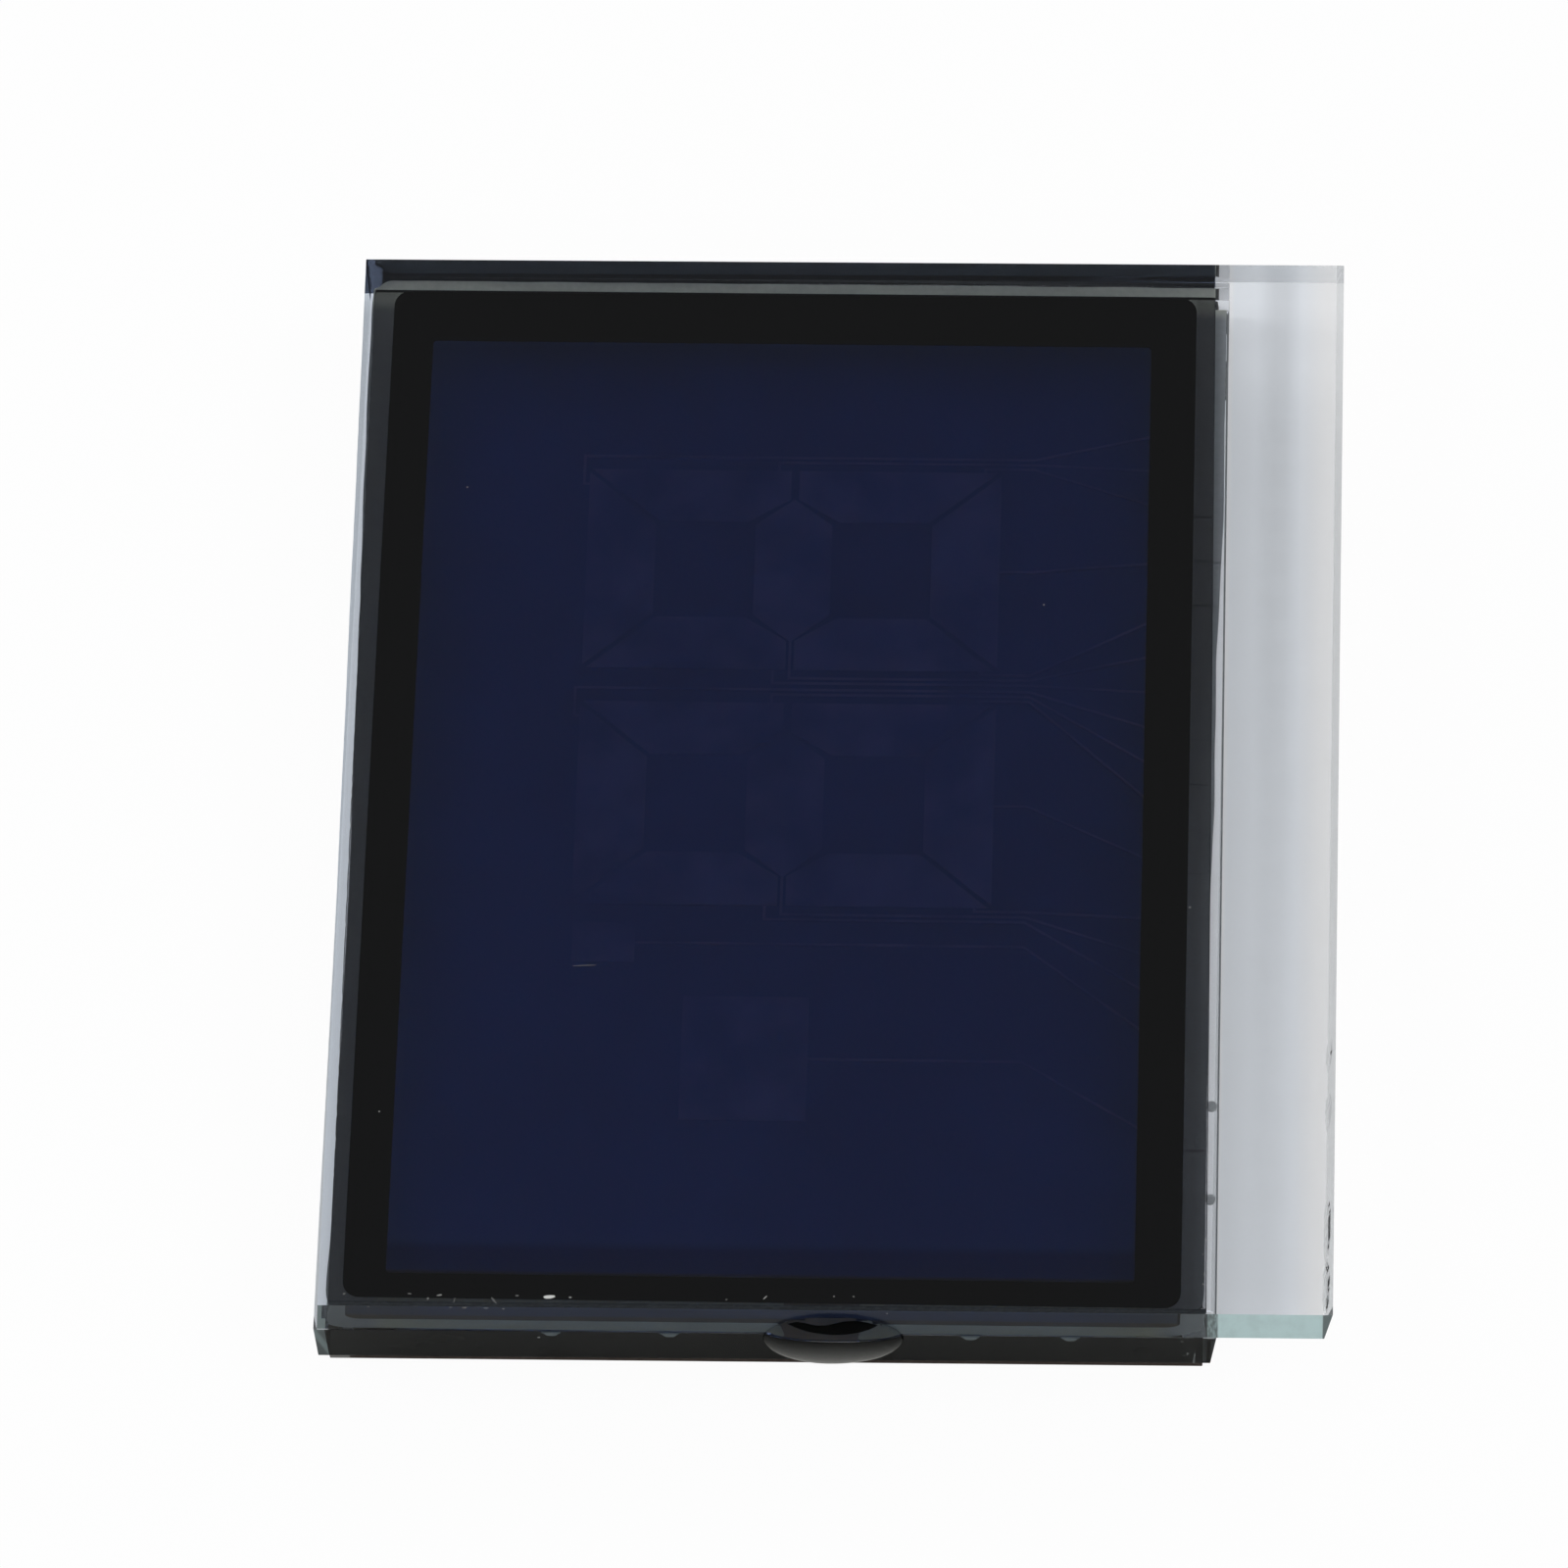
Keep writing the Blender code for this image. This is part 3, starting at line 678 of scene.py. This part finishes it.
def seal_outline():
    """The seal's outer outline, out to where the adhesive was pressed."""
    out = []
    for x, y in ring(SEAL, 0.45, 0.6, 0.05, 0.3):
        # The far right corner becomes a square step
        if x > SEAL.right - 0.051 and y > SEAL.top - 0.0085:
            out.append((SEAL.right + 0.03, SEAL.top + SEAL_TOP_SPREAD if y > SEAL.top - 0.0045 else SEAL_END))
            continue
        if x > SEAL.right - 0.05:
            x += 0.10 + 0.05 * smooth(-2.0, 0.0, y) + 0.09 * smooth(2.5, 6.0, y)
        if x < SEAL.left + 0.05:
            x += 0.08 - 0.16 * smooth(-4.0, 10.0, y) - 0.03 * smooth(-9.0, -9.8, y)
        x += 0.015 * ripple(x, y, 3.0, size=0.8)
        y += 0.015 * ripple(x, y, 9.0, size=0.8)
        if y > SEAL.top - 0.2:
            y += SEAL_TOP_SPREAD
        if x > SEAL.right + 0.05:
            y = min(y, SEAL_END)
        out.append((x, y))
    return out


# Half the outline of a drop of pressed-out adhesive, and the outline of a near-black sheet that paints the shade of
# the hollow under the resin, in x and z
LUMP = ((0.17, 1.31), (0.13, 1.28), (0.10, 1.22), (0.07, 1.185), (0.03, 1.175))
VOID = (
    (-0.62, 1.82), (-0.46, 1.91), (-0.30, 1.90), (-0.15, 1.86), (0.05, 1.87), (0.2, 1.93), (0.35, 1.98), (0.55, 2.0),
    (0.75, 1.94), (0.95, 1.82), (0.8, 1.73), (0.6, 1.65), (0.4, 1.61), (0.19, 1.59), (-0.05, 1.62), (-0.25, 1.66),
    (-0.45, 1.74),
)
VOID_NEAR, VOID_FAR = -10.480, -10.474


# Settings


class CellColours(bpy.types.PropertyGroup):
    """Colours of the cell's glass, films and adhesives."""

    def colour(name, description, default):
        return FloatVectorProperty(
            name=name, description=description, default=default, subtype="COLOR", size=3, min=0.0, max=1.0
        )

    glass: colour("Glass", "Tint of the plates' polished faces", (0.92, 0.955, 1.0))
    # Painted light: the paler tint of the strip beside the film
    lit_glass_strip: colour("Glass strip", "Tint of the front plate beside the film's right edge", (0.96, 0.975, 1.0))
    cut_glass: colour("Cut glass", "Tint of the plates' scribed faces", (0.92, 0.97, 0.965))
    cut_inside: colour("Cut glass inside", "Tint of light that the scribed faces turn back", (0.89, 0.90, 0.905))
    # Painted shade: a dark tint on the light that the far cut faces turn back
    far_cut_shade: colour("Far cut", "Tint of light that the cut faces opposite the port turn back", (0.10, 0.12, 0.17))
    # Painted light: the pale green of light that comes out of the ledge's cut face
    ledge_cut_light: colour("Ledge cut", "The ledge's cut face at the port end", (0.58, 0.76, 0.745))
    # Painted shade: the dark line that the rear plate's edge shows beside the ledge
    score_line_shade: colour("Score line", "The rear plate's scored edge along the ledge", (0.20, 0.21, 0.215))
    film: colour("Film", "What a polarizer lets through", (0.16, 0.165, 0.18))
    window_film: colour("Window film", "What the film lets through over the window", (0.045, 0.105, 0.48))
    film_edge: colour("Film edge", "The front film's cut edge", (0.016, 0.019, 0.022))
    rear_film_edge: colour("Rear film edge", "The rear film's cut edge", (0.045, 0.034, 0.028))
    # Painted shade: the grey of the shadowed floor at the rear film's left end
    rear_film_corner_shade: colour("Rear film corner", "The rear film's edge at its left end", (0.24, 0.23, 0.215))
    rear_film: colour("Rear film", "The rear film's faces", (0.022, 0.023, 0.025))
    ink: colour("Ink", "The printed frame", (0.004, 0.004, 0.004))
    crystal: colour("Crystal", "The fill, as it looks between the films", (0.075, 0.097, 0.125))
    seal: colour("Seal", "The edge seal", (0.235, 0.25, 0.265))
    # Painted light: the light line along the seal's far end
    lit_far_seal: colour("Far seal", "The edge seal opposite the port", (0.53, 0.55, 0.49))
    lumps: colour("Lumps", "Adhesive that was pressed out at the port end", (0.12, 0.14, 0.145))
    # Painted light: the seal lighter and warmer on the port side
    lit_port_seal: colour("Port seal", "The edge seal on the port side", (0.34, 0.34, 0.253))
    # Painted shade: the fill darker and less blue towards the port
    near_port_shade: colour("Near port", "The fill towards the filling port, under the frame", (0.050, 0.058, 0.080))
    port_side: colour("Port side", "The fill as it shows through the cut face", (0.058, 0.050, 0.042))
    oxide: colour("Oxide", "The clear electrodes over the fill", (0.16, 0.135, 0.145))
    port_fill: colour("Port fill", "The resin that was drawn into the port", (0.17, 0.145, 0.11))
    # Painted shade: the near-black sheet in the hollow under the resin
    void: colour("Void", "The dark hollow under the resin", (0.001, 0.001, 0.001))
    resin: colour("Resin", "Tint of the resin over the filling port", (0.80, 0.80, 0.81))
    dust: colour("Dust", "Specks and scratches", (0.62, 0.62, 0.60))
    silver: colour("Silver", "The conductive dots", (0.42, 0.43, 0.43))


class CellSizes(bpy.types.PropertyGroup):
    """Sizes of the cell's small departures from plain shapes."""

    slant: FloatProperty(
        name="Side slant",
        description="How far the ledge side's lower edge lies inwards, at the port end, in millimetres",
        default=0.14,
        min=0.0,
        max=0.3,
    )


class StudioSettings(bpy.types.PropertyGroup):
    """The camera and lights."""

    def angle(name, description, degrees):
        return FloatProperty(name=name, description=description, default=math.radians(degrees), subtype="ANGLE")

    azimuth: angle("Azimuth", "Where the camera stands round the cell", 6.4)
    elevation: angle("Elevation", "The camera's height", 64.455)
    roll: angle("Roll", "The camera's turn about its view", 5.111)
    distance: FloatProperty(
        name="Distance",
        description="From the camera to its target",
        default=0.1892675,
        subtype="DISTANCE",
        unit="LENGTH",
    )
    target: FloatVectorProperty(
        name="Target",
        description="What the camera looks at",
        default=(-0.0009889, -0.0002357, 0.00244),
        subtype="XYZ",
        unit="LENGTH",
    )
    lens: FloatProperty(name="Lens", description="Focal length in millimetres", default=241.38, min=20.0, max=600.0)
    dome: FloatProperty(name="Dome", description="Brightness of the upper sky", default=0.225, min=0.0, max=2.0)
    horizon: FloatProperty(
        name="Horizon", description="Brightness of the sky near the floor", default=0.8, min=0.0, max=2.0
    )


# Operators


def settings():
    scene = bpy.context.scene
    return scene.cell_sizes, scene.cell_colours, scene.cell_studio


def glass_slots(colours):
    return [
        plate_glass(colours),
        clear_solid("scribed_glass", colours.cut_glass, colours.cut_inside, 0.02, 0.3),
        bonded_face(),
        painted_light_cut_face(colours),
        # Painted shade: the dark line along the rear plate's edge beside the ledge
        dull("score_line_shade", colours.score_line_shade, 0.6, 0.1, 0.002),
        # Painted shade: the far cut faces turn back only a dark tint of the light
        clear_solid("far_cut_shade_glass", colours.cut_glass, colours.far_cut_shade, 0.02, 0.3),
    ]


class CELL_OT_plates(bpy.types.Operator):
    """Build the two scribed glass plates."""

    bl_idname = "cell.plates"
    bl_label = "Glass plates"

    # Where each break lies along the ledge's edge, how far it reaches, how far down its middle is and how deep it is
    CHIPS = ((-5.2, 0.28, 0.9, 0.025), (-6.3, 0.32, 0.95, 0.03), (-8.6, 0.6, 0.9, 0.035), (-9.7, 0.5, 0.95, 0.04))
    # The scored edge of the rear plate along the ledge, in plan and in height
    SCORE_INSET, SCORE_HEIGHT = 0.035, 0.03
    # How much higher the rear plate reaches outside the seal, beside the ledge and elsewhere
    LEDGE_LIP, LIP = 0.0001, 0.04

    def execute(self, context):
        sizes, colours, _ = settings()
        slots = glass_slots(colours)
        plate = Plate(FRONT_PLATE, FRONT_PLATE_MOVES, 1.0, (0.1, sizes.slant, 0.125), 0.0, self.CHIPS)
        walls = plate.levels()
        seal = seal_outline()
        film = shifted(FRONT_FILM, FRONT_FILM_MOVES, ring(FRONT_FILM, 0.03))
        rings = [at_level(seal, plate.box.low), *walls, at_level(film, plate.box.high)]
        bands = len(walls) - 1

        def slot_of(band, spot):
            if band in (0, bands + 3):
                return BONDED
            return open_slot(spot) if band in (1, bands + 2) else cut_slot(spot)

        stand_in(loft("front_plate", rings, slot_of, slots, (1,)), "front_glass")

        plate = Plate(REAR_PLATE, REAR_PLATE_MOVES, 21.0, (0.0, 0.8 * sizes.slant, 0.0), 0.03)
        walls = plate.levels()
        walls.insert(-1, plate.level(plate.box.high - self.SCORE_HEIGHT))
        scored = plate.box.right - 0.3
        walls[-1] = [
            (x - self.SCORE_INSET if x > scored and y < SEAL_END else x, y, z) for x, y, z in walls[-1]
        ]
        bands = len(walls) - 1
        film = shifted(REAR_FILM, REAR_FILM_MOVES, ring(REAR_FILM, 0.02))
        lip = [(x, y, self.lip_level(x, y)) for x, y, _ in walls[-1]]
        lip_inner = [(x, y, self.lip_level(x, y)) for x, y in seal]
        rings = [at_level(film, plate.box.low), *walls, lip, lip_inner, at_level(seal, plate.box.high)]

        def rear_slot_of(band, spot):
            if band in (0, bands + 5):
                return BONDED
            # The scored edge beside the ledge takes painted shade, the dark line that the edge shows
            if band == bands + 1 and spot.x > plate.box.right - 0.2 and spot.y < SEAL_END:
                return SHADED_SCORE_LINE
            return open_slot(spot) if band in (1, bands + 3) else cut_slot(spot)

        stand_in(loft("rear_plate", rings, rear_slot_of, slots, (bands + 3,)), "rear_glass")
        return {"FINISHED"}

    def lip_level(self, x, y):
        """How high the rear plate reaches outside the seal, where the real gap is only a few microns."""
        beside_ledge = x > SEAL.right - 0.1 and (y < 8.0 or x > SEAL.right + 0.24)
        return REAR_PLATE.high + (self.LEDGE_LIP if beside_ledge else self.LIP)


class CELL_OT_films(bpy.types.Operator):
    """Build the front and rear polarizer films."""

    bl_idname = "cell.films"
    bl_label = "Polarizer films"

    BEVEL = 0.012

    def execute(self, context):
        _, colours, _ = settings()
        film = FRONT_FILM
        recess = shifted(PRINT, PRINT_MOVES, ring(PRINT.inset(-0.01), 0.3))
        window = ring(WINDOW, 0.08)
        rings = [
            at_level(window, film.low),
            at_level(window, PRINT.high),
            at_level(recess, PRINT.high),
            at_level(recess, film.low),
            at_level(self.ragged(film), film.low),
            at_level(self.ragged(film), film.high - DUST - self.BEVEL),
            at_level(self.ragged(film.inset(self.BEVEL)), film.high - DUST),
        ]
        finishes = [film_face(colours), film_edge("film_edge", colours.film_edge), bonded_face()]
        front = loft("front_film", rings, lambda band, spot: (2, 2, 2, 2, 2, 1, 1, 0)[band], finishes)
        stand_in(front, "front_polarizer")

        film = REAR_FILM
        outline = shifted(film, REAR_FILM_MOVES, ring(film, 0.02))
        rings = [at_level(outline, z) for z in (film.low, film.high)]
        finishes = [
            dull("rear_film_face", colours.rear_film, 0.12, 0.9, 0.001, gloss=0.5),
            film_edge("rear_film_edge", colours.rear_film_edge, colours.rear_film_corner_shade),
            rear_film_under_glass(colours),
        ]
        rear = loft("rear_film", rings, lambda band, spot: band, finishes)
        stand_in(rear, "rear_polarizer")
        return {"FINISHED"}

    @staticmethod
    def ragged(film):
        """The front film's outline, with its left side torn a little."""
        points = []
        for x, y in shifted(FRONT_FILM, FRONT_FILM_MOVES, ring(film, 0.03)):
            if x < FRONT_FILM.left + 0.13:
                x += max(0.0, 0.02 * ripple(x, y, size=0.35) + 0.012 * ripple(x, y, size=0.12))
            points.append((x, y))
        return points


class CELL_OT_layers(bpy.types.Operator):
    """Give the print, the fill, the electrodes and the dots their finishes."""

    bl_idname = "cell.layers"
    bl_label = "Inner layers"

    def execute(self, context):
        _, colours, _ = settings()
        oxide = clear_oxide(colours)
        ink = dull("frame_ink", colours.ink, 0.5, 0.05, 0.001)
        silver = dull("silver_paste", colours.silver, 0.5, 0.02, 0.003)
        for name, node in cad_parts.items():
            if name == "black_frame_print":
                finish = ink
            elif "transfer_dot" in name:
                finish = silver
            elif "segment" in name or "common" in name:
                finish = oxide
            else:
                continue
            node.data.materials.clear()
            node.data.materials.append(finish)

        fill = Box.of_node("liquid_crystal")
        rings = [at_level(ring(fill, 0.28), z) for z in (fill.low, fill.high - MICRON)]
        piece = loft("crystal_fill", rings, lambda band, spot: 0, [crystal_fill(colours)])
        stand_in(piece, "liquid_crystal")
        return {"FINISHED"}


class CELL_OT_seal(bpy.types.Operator):
    """Build the edge seal with its port lips and drops, the resin in the port, and a near-black sheet as painted shade
    in the hollow under the resin dome.
    """

    bl_idname = "cell.seal"
    bl_label = "Edge seal"

    def execute(self, context):
        _, colours, _ = settings()
        inside = [
            (x + 0.012 * ripple(x, y, size=0.7), y + 0.012 * ripple(y, x, size=0.7))
            for x, y in ring(SEAL_INNER, 0.28)
        ]
        outline = [*self.opened(seal_outline()), *LEFT_LIP, *self.opened(inside)[::-1], *RIGHT_LIP]
        seal = self.flat("edge_seal", outline, SEAL.low, SEAL.high, seal_adhesive(colours))
        stand_in(seal, "perimeter_seal")

        lumps = bmesh.new()
        plates = ((FRONT_PLATE, FRONT_PLATE_MOVES), (REAR_PLATE, REAR_PLATE_MOVES))
        for x in SEAL_LUMPS:
            face = min(moved(box, moves, x, box.bottom)[1] for box, moves in plates)
            outline = [*LUMP, *((-across, z) for across, z in LUMP[::-1])]
            upright(lumps, [(x + across, z) for across, z in outline], face - 0.02, face + 0.03)
        add_piece("seal_lumps", lumps, [dull("seal_lumps", colours.lumps, 0.5, 0.1, 0.003)])

        finish = dull("port_fill", colours.port_fill, 0.4, 0.3, 0.002)
        self.flat("port_fill", PORT_FILL, 1.3, 1.3305, finish)

        # Painted shade: a near-black sheet in the hollow under the resin
        void = bmesh.new()
        upright(void, VOID, VOID_NEAR, VOID_FAR)
        finish = dull("port_void_shade", colours.void, 0.5, 0.2, 0.001)
        add_piece("port_void_shade", void, [finish])
        return {"FINISHED"}

    @staticmethod
    def opened(points):
        """The ring's points from the port's right side round to its left side."""
        low = min(y for _, y in points)
        inside = [i for i, (x, y) in enumerate(points) if PORT_LEFT < x < PORT_RIGHT and y < low + 1.0]
        return points[inside[-1] + 1 :] + points[: inside[0]]

    @staticmethod
    def flat(name, outline, low, high, material):
        """A flat piece from its outline in plan."""
        bm = bmesh.new()
        bottom = [bm.verts.new((x * MM, y * MM, low * MM)) for x, y in outline]
        top = [bm.verts.new((x * MM, y * MM, high * MM)) for x, y in outline]
        for a, b, c in tessellate_polygon([[Vector((x, y, 0)) for x, y in outline]]):
            bm.faces.new((top[a], top[b], top[c]))
            bm.faces.new((bottom[c], bottom[b], bottom[a]))
        for i in range(len(outline)):
            j = (i + 1) % len(outline)
            bm.faces.new((bottom[i], bottom[j], top[j], top[i]))
        bmesh.ops.recalc_face_normals(bm, faces=bm.faces)
        return add_piece(name, bm, [material])


class CELL_OT_resin(bpy.types.Operator):
    """Build the clear resin dome over the filling port."""

    bl_idname = "cell.resin"
    bl_label = "Port resin"

    # How full the dome's section is, where 2 is an ellipse, and how low the resin ran
    FULLNESS = 2.6
    LOWEST = 0.06

    def execute(self, context):
        _, colours, _ = settings()
        rings, spokes = 28, 120
        loops = []
        for i in range(rings):
            r = math.cos(math.pi / 2 * i / rings)
            out = PLUG_BULGE * (1 - r**self.FULLNESS) ** 0.5
            loop = []
            for j in range(spokes):
                a = math.tau * j / spokes
                reach = 1 + 0.03 * math.sin(2 * a + 0.6) + 0.02 * ripple(math.cos(a), math.sin(a), 5.0, size=0.6)
                x = PLUG_ACROSS + PLUG_WIDTH / 2 * r * reach * math.cos(a)
                z = PLUG_MIDDLE + PLUG_HEIGHT / 2 * r * reach * math.sin(a)
                loop.append((x, PLUG_BACK - out, max(z, self.LOWEST)))
            loops.append(loop)
        resin = clear_solid("port_resin", colours.resin, colours.resin, 0.02, 1.0, 1.4)
        dome = loft("resin_dome", loops, lambda band, spot: 1 if band == 0 else 0, [resin, bonded_face()])
        dome.data.shade_smooth()
        stand_in(dome, "end_seal_plug")
        return {"FINISHED"}


class CELL_OT_dust(bpy.types.Operator):
    """Build the specks of dust and the scratch on the front film and the cut faces."""

    bl_idname = "cell.dust"
    bl_label = "Dust and scratches"

    # Where each speck lies on the film, how long and wide it is, and its turn in degrees
    ON_FILM = (
        (-8.42, -10.36, 0.05, 0.03, 20), (-7.27, -10.34, 0.07, 0.02, 0), (-6.94, -10.43, 0.05, 0.04, 60),
        (-6.74, -10.36, 0.09, 0.03, 10), (-6.47, -10.45, 0.10, 0.025, 75), (-5.78, -10.44, 0.14, 0.03, 130),
        (-5.37, -10.35, 0.06, 0.03, 0), (-4.80, -10.365, 0.22, 0.065, 4), (-4.43, -10.37, 0.05, 0.03, 0),
        (-1.68, -10.37, 0.04, 0.03, 30), (-1.0, -10.32, 0.10, 0.02, 45), (0.21, -10.28, 0.03, 0.02, 0),
        (0.556, -10.28, 0.035, 0.03, 0), (6.35, -2.67, 0.04, 0.035, 0), (-7.97, -6.85, 0.03, 0.03, 0),
        (-6.95, 5.60, 0.03, 0.03, 0), (3.62, 3.33, 0.03, 0.03, 0), (6.72, -9.10, 0.03, 0.02, 0),
        (6.68, -9.38, 0.04, 0.02, 60), (6.70, -9.76, 0.05, 0.02, 80), (6.69, -9.95, 0.03, 0.03, 0),
    )
    # Where each speck lies on the port end's cut faces, and how long and high it is
    ON_CUT = (
        (-6.31, 2.40, 0.08, 0.06), (-6.55, 2.41, 0.05, 0.03), (-5.92, 2.39, 0.10, 0.025), (-5.62, 2.36, 0.04, 0.03),
        (-8.0, 2.41, 0.05, 0.03), (-5.07, 1.06, 0.05, 0.05), (6.32, 1.13, 0.05, 0.05), (6.42, 0.60, 0.05, 0.09),
        (6.36, 0.50, 0.07, 0.04), (0.20, 1.86, 0.035, 0.035), (0.70, 1.96, 0.035, 0.035), (1.14, 2.33, 0.03, 0.03),
    )

    def execute(self, context):
        _, colours, _ = settings()
        dust = dust_flakes(colours)
        film = bmesh.new()
        top = FRONT_FILM.high
        for i, (x, y, length, width, turn) in enumerate(self.ON_FILM):
            along = Vector((math.cos(math.radians(turn)), math.sin(math.radians(turn)), 0.0))
            across = Vector((-along.y, along.x, 0.0))
            flake(film, i, Vector((x, y, top)), along * length / 2, across * width / 2, Vector((0, 0, -DUST)))
        add_piece("film_dust", film, [dust])
        cut = bmesh.new()
        for i, (x, z, length, height) in enumerate(self.ON_CUT):
            box, moves = (FRONT_PLATE, FRONT_PLATE_MOVES) if z > FRONT_PLATE.low else (REAR_PLATE, REAR_PLATE_MOVES)
            face = moved(box, moves, x, box.bottom)[1]
            near = Vector((x, face - DUST, z))
            flake(cut, i, near, Vector((length / 2, 0, 0)), Vector((0, 0, height / 2)), Vector((0, DUST, 0)))
        add_piece("cut_dust", cut, [dust])
        scratch = bmesh.new()
        middle = Vector((-4.43, -3.955, top))
        flake(scratch, 90, middle, Vector((0.21, 0.012, 0)), Vector((-0.001, 0.008, 0)), Vector((0, 0, -DUST)))
        add_piece("film_scratch", scratch, [dust])
        return {"FINISHED"}


class CELL_OT_studio(bpy.types.Operator):
    """Set the floor, the sky, the lamps and the camera."""

    bl_idname = "cell.studio"
    bl_label = "Studio"

    # Each lamp's name, its azimuth and elevation in degrees, its size in metres and its power in watts
    LAMPS = (
        ("back_lamp", 180, 36, 0.30, 1.0),
        ("left_lamp", 262, 48, 0.25, 0.8),
        ("right_lamp", 95, 48, 0.25, 0.8),
        ("front_lamp", 5, 50, 0.25, 0.35),
    )
    LAMP_DISTANCE = 0.6
    PAPER = ((0.80, 0.80, 0.81), (0.82, 0.82, 0.83))
    SKY = (0.95, 0.975, 1.0)
    # How much white the camera sees in the paper, and mirrors and clear glass show of it
    SEEN, MIRRORED, THROUGH_GLASS = 0.96, 0.1, 0.26

    def execute(self, context):
        _, _, studio = settings()
        self.floor()
        self.sky(studio)
        for lamp in self.LAMPS:
            self.lamp(*lamp)
        self.camera(studio)
        context.scene.view_settings.view_transform = "Standard"
        return {"FINISHED"}

    def floor(self):
        shader = new_material("floor_paper")
        spot, _ = shader.place()
        grain = shader.grain(spot, 0.5)
        path = shader.add("ShaderNodeLightPath")
        camera, mirror, glass = (
            Value(shader, path.outputs[f"Is {kind} Ray"]) for kind in ("Camera", "Glossy", "Transmission")
        )
        seen = camera * self.SEEN + mirror * self.MIRRORED + glass * self.THROUGH_GLASS
        paper = shader.add("ShaderNodeBsdfDiffuse", None, {"Color": shader.blend(grain, *self.PAPER)})
        white = shader.add("ShaderNodeEmission", None, {"Color": WHITE, "Strength": 1.0})
        mixed = shader.add("ShaderNodeMixShader", None, {0: seen, 1: paper.outputs[0], 2: white.outputs[0]})
        material = shader.finish(mixed)
        bm = bmesh.new()
        bmesh.ops.create_grid(bm, x_segments=4, y_segments=4, size=1.5)
        mesh = bpy.data.meshes.new("floor")
        bm.to_mesh(mesh)
        bm.free()
        mesh.materials.append(material)
        floor = bpy.data.objects.new("floor", mesh)
        floor.location.z = -0.00001
        bpy.context.scene.collection.objects.link(floor)

    def sky(self, studio):
        world = bpy.context.scene.world or bpy.data.worlds.new("studio")
        bpy.context.scene.world = world
        shader = Shader(world)
        toward = shader.add("ShaderNodeTexCoord").outputs["Generated"]
        height = Value(shader, shader.add("ShaderNodeSeparateXYZ", None, {0: toward}).outputs[2])
        path = shader.add("ShaderNodeLightPath")
        camera, glass = (Value(shader, path.outputs[f"Is {kind} Ray"]) for kind in ("Camera", "Transmission"))
        seen = camera + glass * self.THROUGH_GLASS
        glow = height.step(0.62, 0.3)
        strength = studio.dome + glow * (studio.horizon - studio.dome)
        strength = strength + seen * (1.0 - strength)
        shader.finish(shader.add("ShaderNodeBackground", None, {"Color": self.SKY, "Strength": strength}))

    @staticmethod
    def direction(azimuth, elevation):
        """From the part towards this place in the sky, where azimuth 0 is the port side."""
        flat = math.cos(elevation)
        return Vector((math.sin(azimuth) * flat, -math.cos(azimuth) * flat, math.sin(elevation)))

    def lamp(self, name, azimuth, elevation, size, power):
        data = bpy.data.lights.new(name, "AREA")
        data.shape = "DISK"
        data.size = size
        data.energy = power
        lamp = bpy.data.objects.new(name, data)
        back = self.direction(math.radians(azimuth), math.radians(elevation))
        lamp.location = back * self.LAMP_DISTANCE
        lamp.rotation_mode = "QUATERNION"
        lamp.rotation_quaternion = back.to_track_quat("Z", "Y")
        bpy.context.scene.collection.objects.link(lamp)

    def camera(self, studio):
        a, r = studio.azimuth, studio.roll
        back = self.direction(a, studio.elevation)
        level = Vector((math.cos(a), math.sin(a), 0.0))
        rise = back.cross(level)
        right = level * math.cos(r) - rise * math.sin(r)
        up = level * math.sin(r) + rise * math.cos(r)
        data = bpy.data.cameras.new("camera")
        data.lens = studio.lens
        data.clip_start = 0.01
        camera = bpy.data.objects.new("camera", data)
        turn = Matrix((right, up, back)).transposed()
        camera.matrix_world = Matrix.Translation(Vector(studio.target) + back * studio.distance) @ turn.to_4x4()
        bpy.context.scene.collection.objects.link(camera)
        bpy.context.scene.camera = camera


OPERATORS = (CELL_OT_plates, CELL_OT_films, CELL_OT_layers, CELL_OT_seal, CELL_OT_resin, CELL_OT_dust, CELL_OT_studio)


class CELL_PT_panel(bpy.types.Panel):
    """Lists the cell's pieces and their settings."""

    bl_idname = "CELL_PT_panel"
    bl_label = "Glass Cell"
    bl_space_type = "VIEW_3D"
    bl_region_type = "UI"
    bl_category = "Glass Cell"

    def draw(self, context):
        for operator in OPERATORS:
            self.layout.operator(operator.bl_idname)
        for group in settings():
            box = self.layout.box()
            for name in group.__annotations__:
                box.prop(group, name)


CLASSES = (CellColours, CellSizes, StudioSettings, *OPERATORS, CELL_PT_panel)


def register():
    for cls in CLASSES:
        bpy.utils.register_class(cls)
    bpy.types.Scene.cell_colours = PointerProperty(type=CellColours)
    bpy.types.Scene.cell_sizes = PointerProperty(type=CellSizes)
    bpy.types.Scene.cell_studio = PointerProperty(type=StudioSettings)


def unregister():
    del bpy.types.Scene.cell_studio
    del bpy.types.Scene.cell_sizes
    del bpy.types.Scene.cell_colours
    for cls in reversed(CLASSES):
        bpy.utils.unregister_class(cls)


def main():
    register()
    bpy.ops.cell.plates()
    bpy.ops.cell.films()
    bpy.ops.cell.layers()
    bpy.ops.cell.seal()
    bpy.ops.cell.resin()
    bpy.ops.cell.dust()
    bpy.ops.cell.studio()


if __name__ == "__main__":
    main()
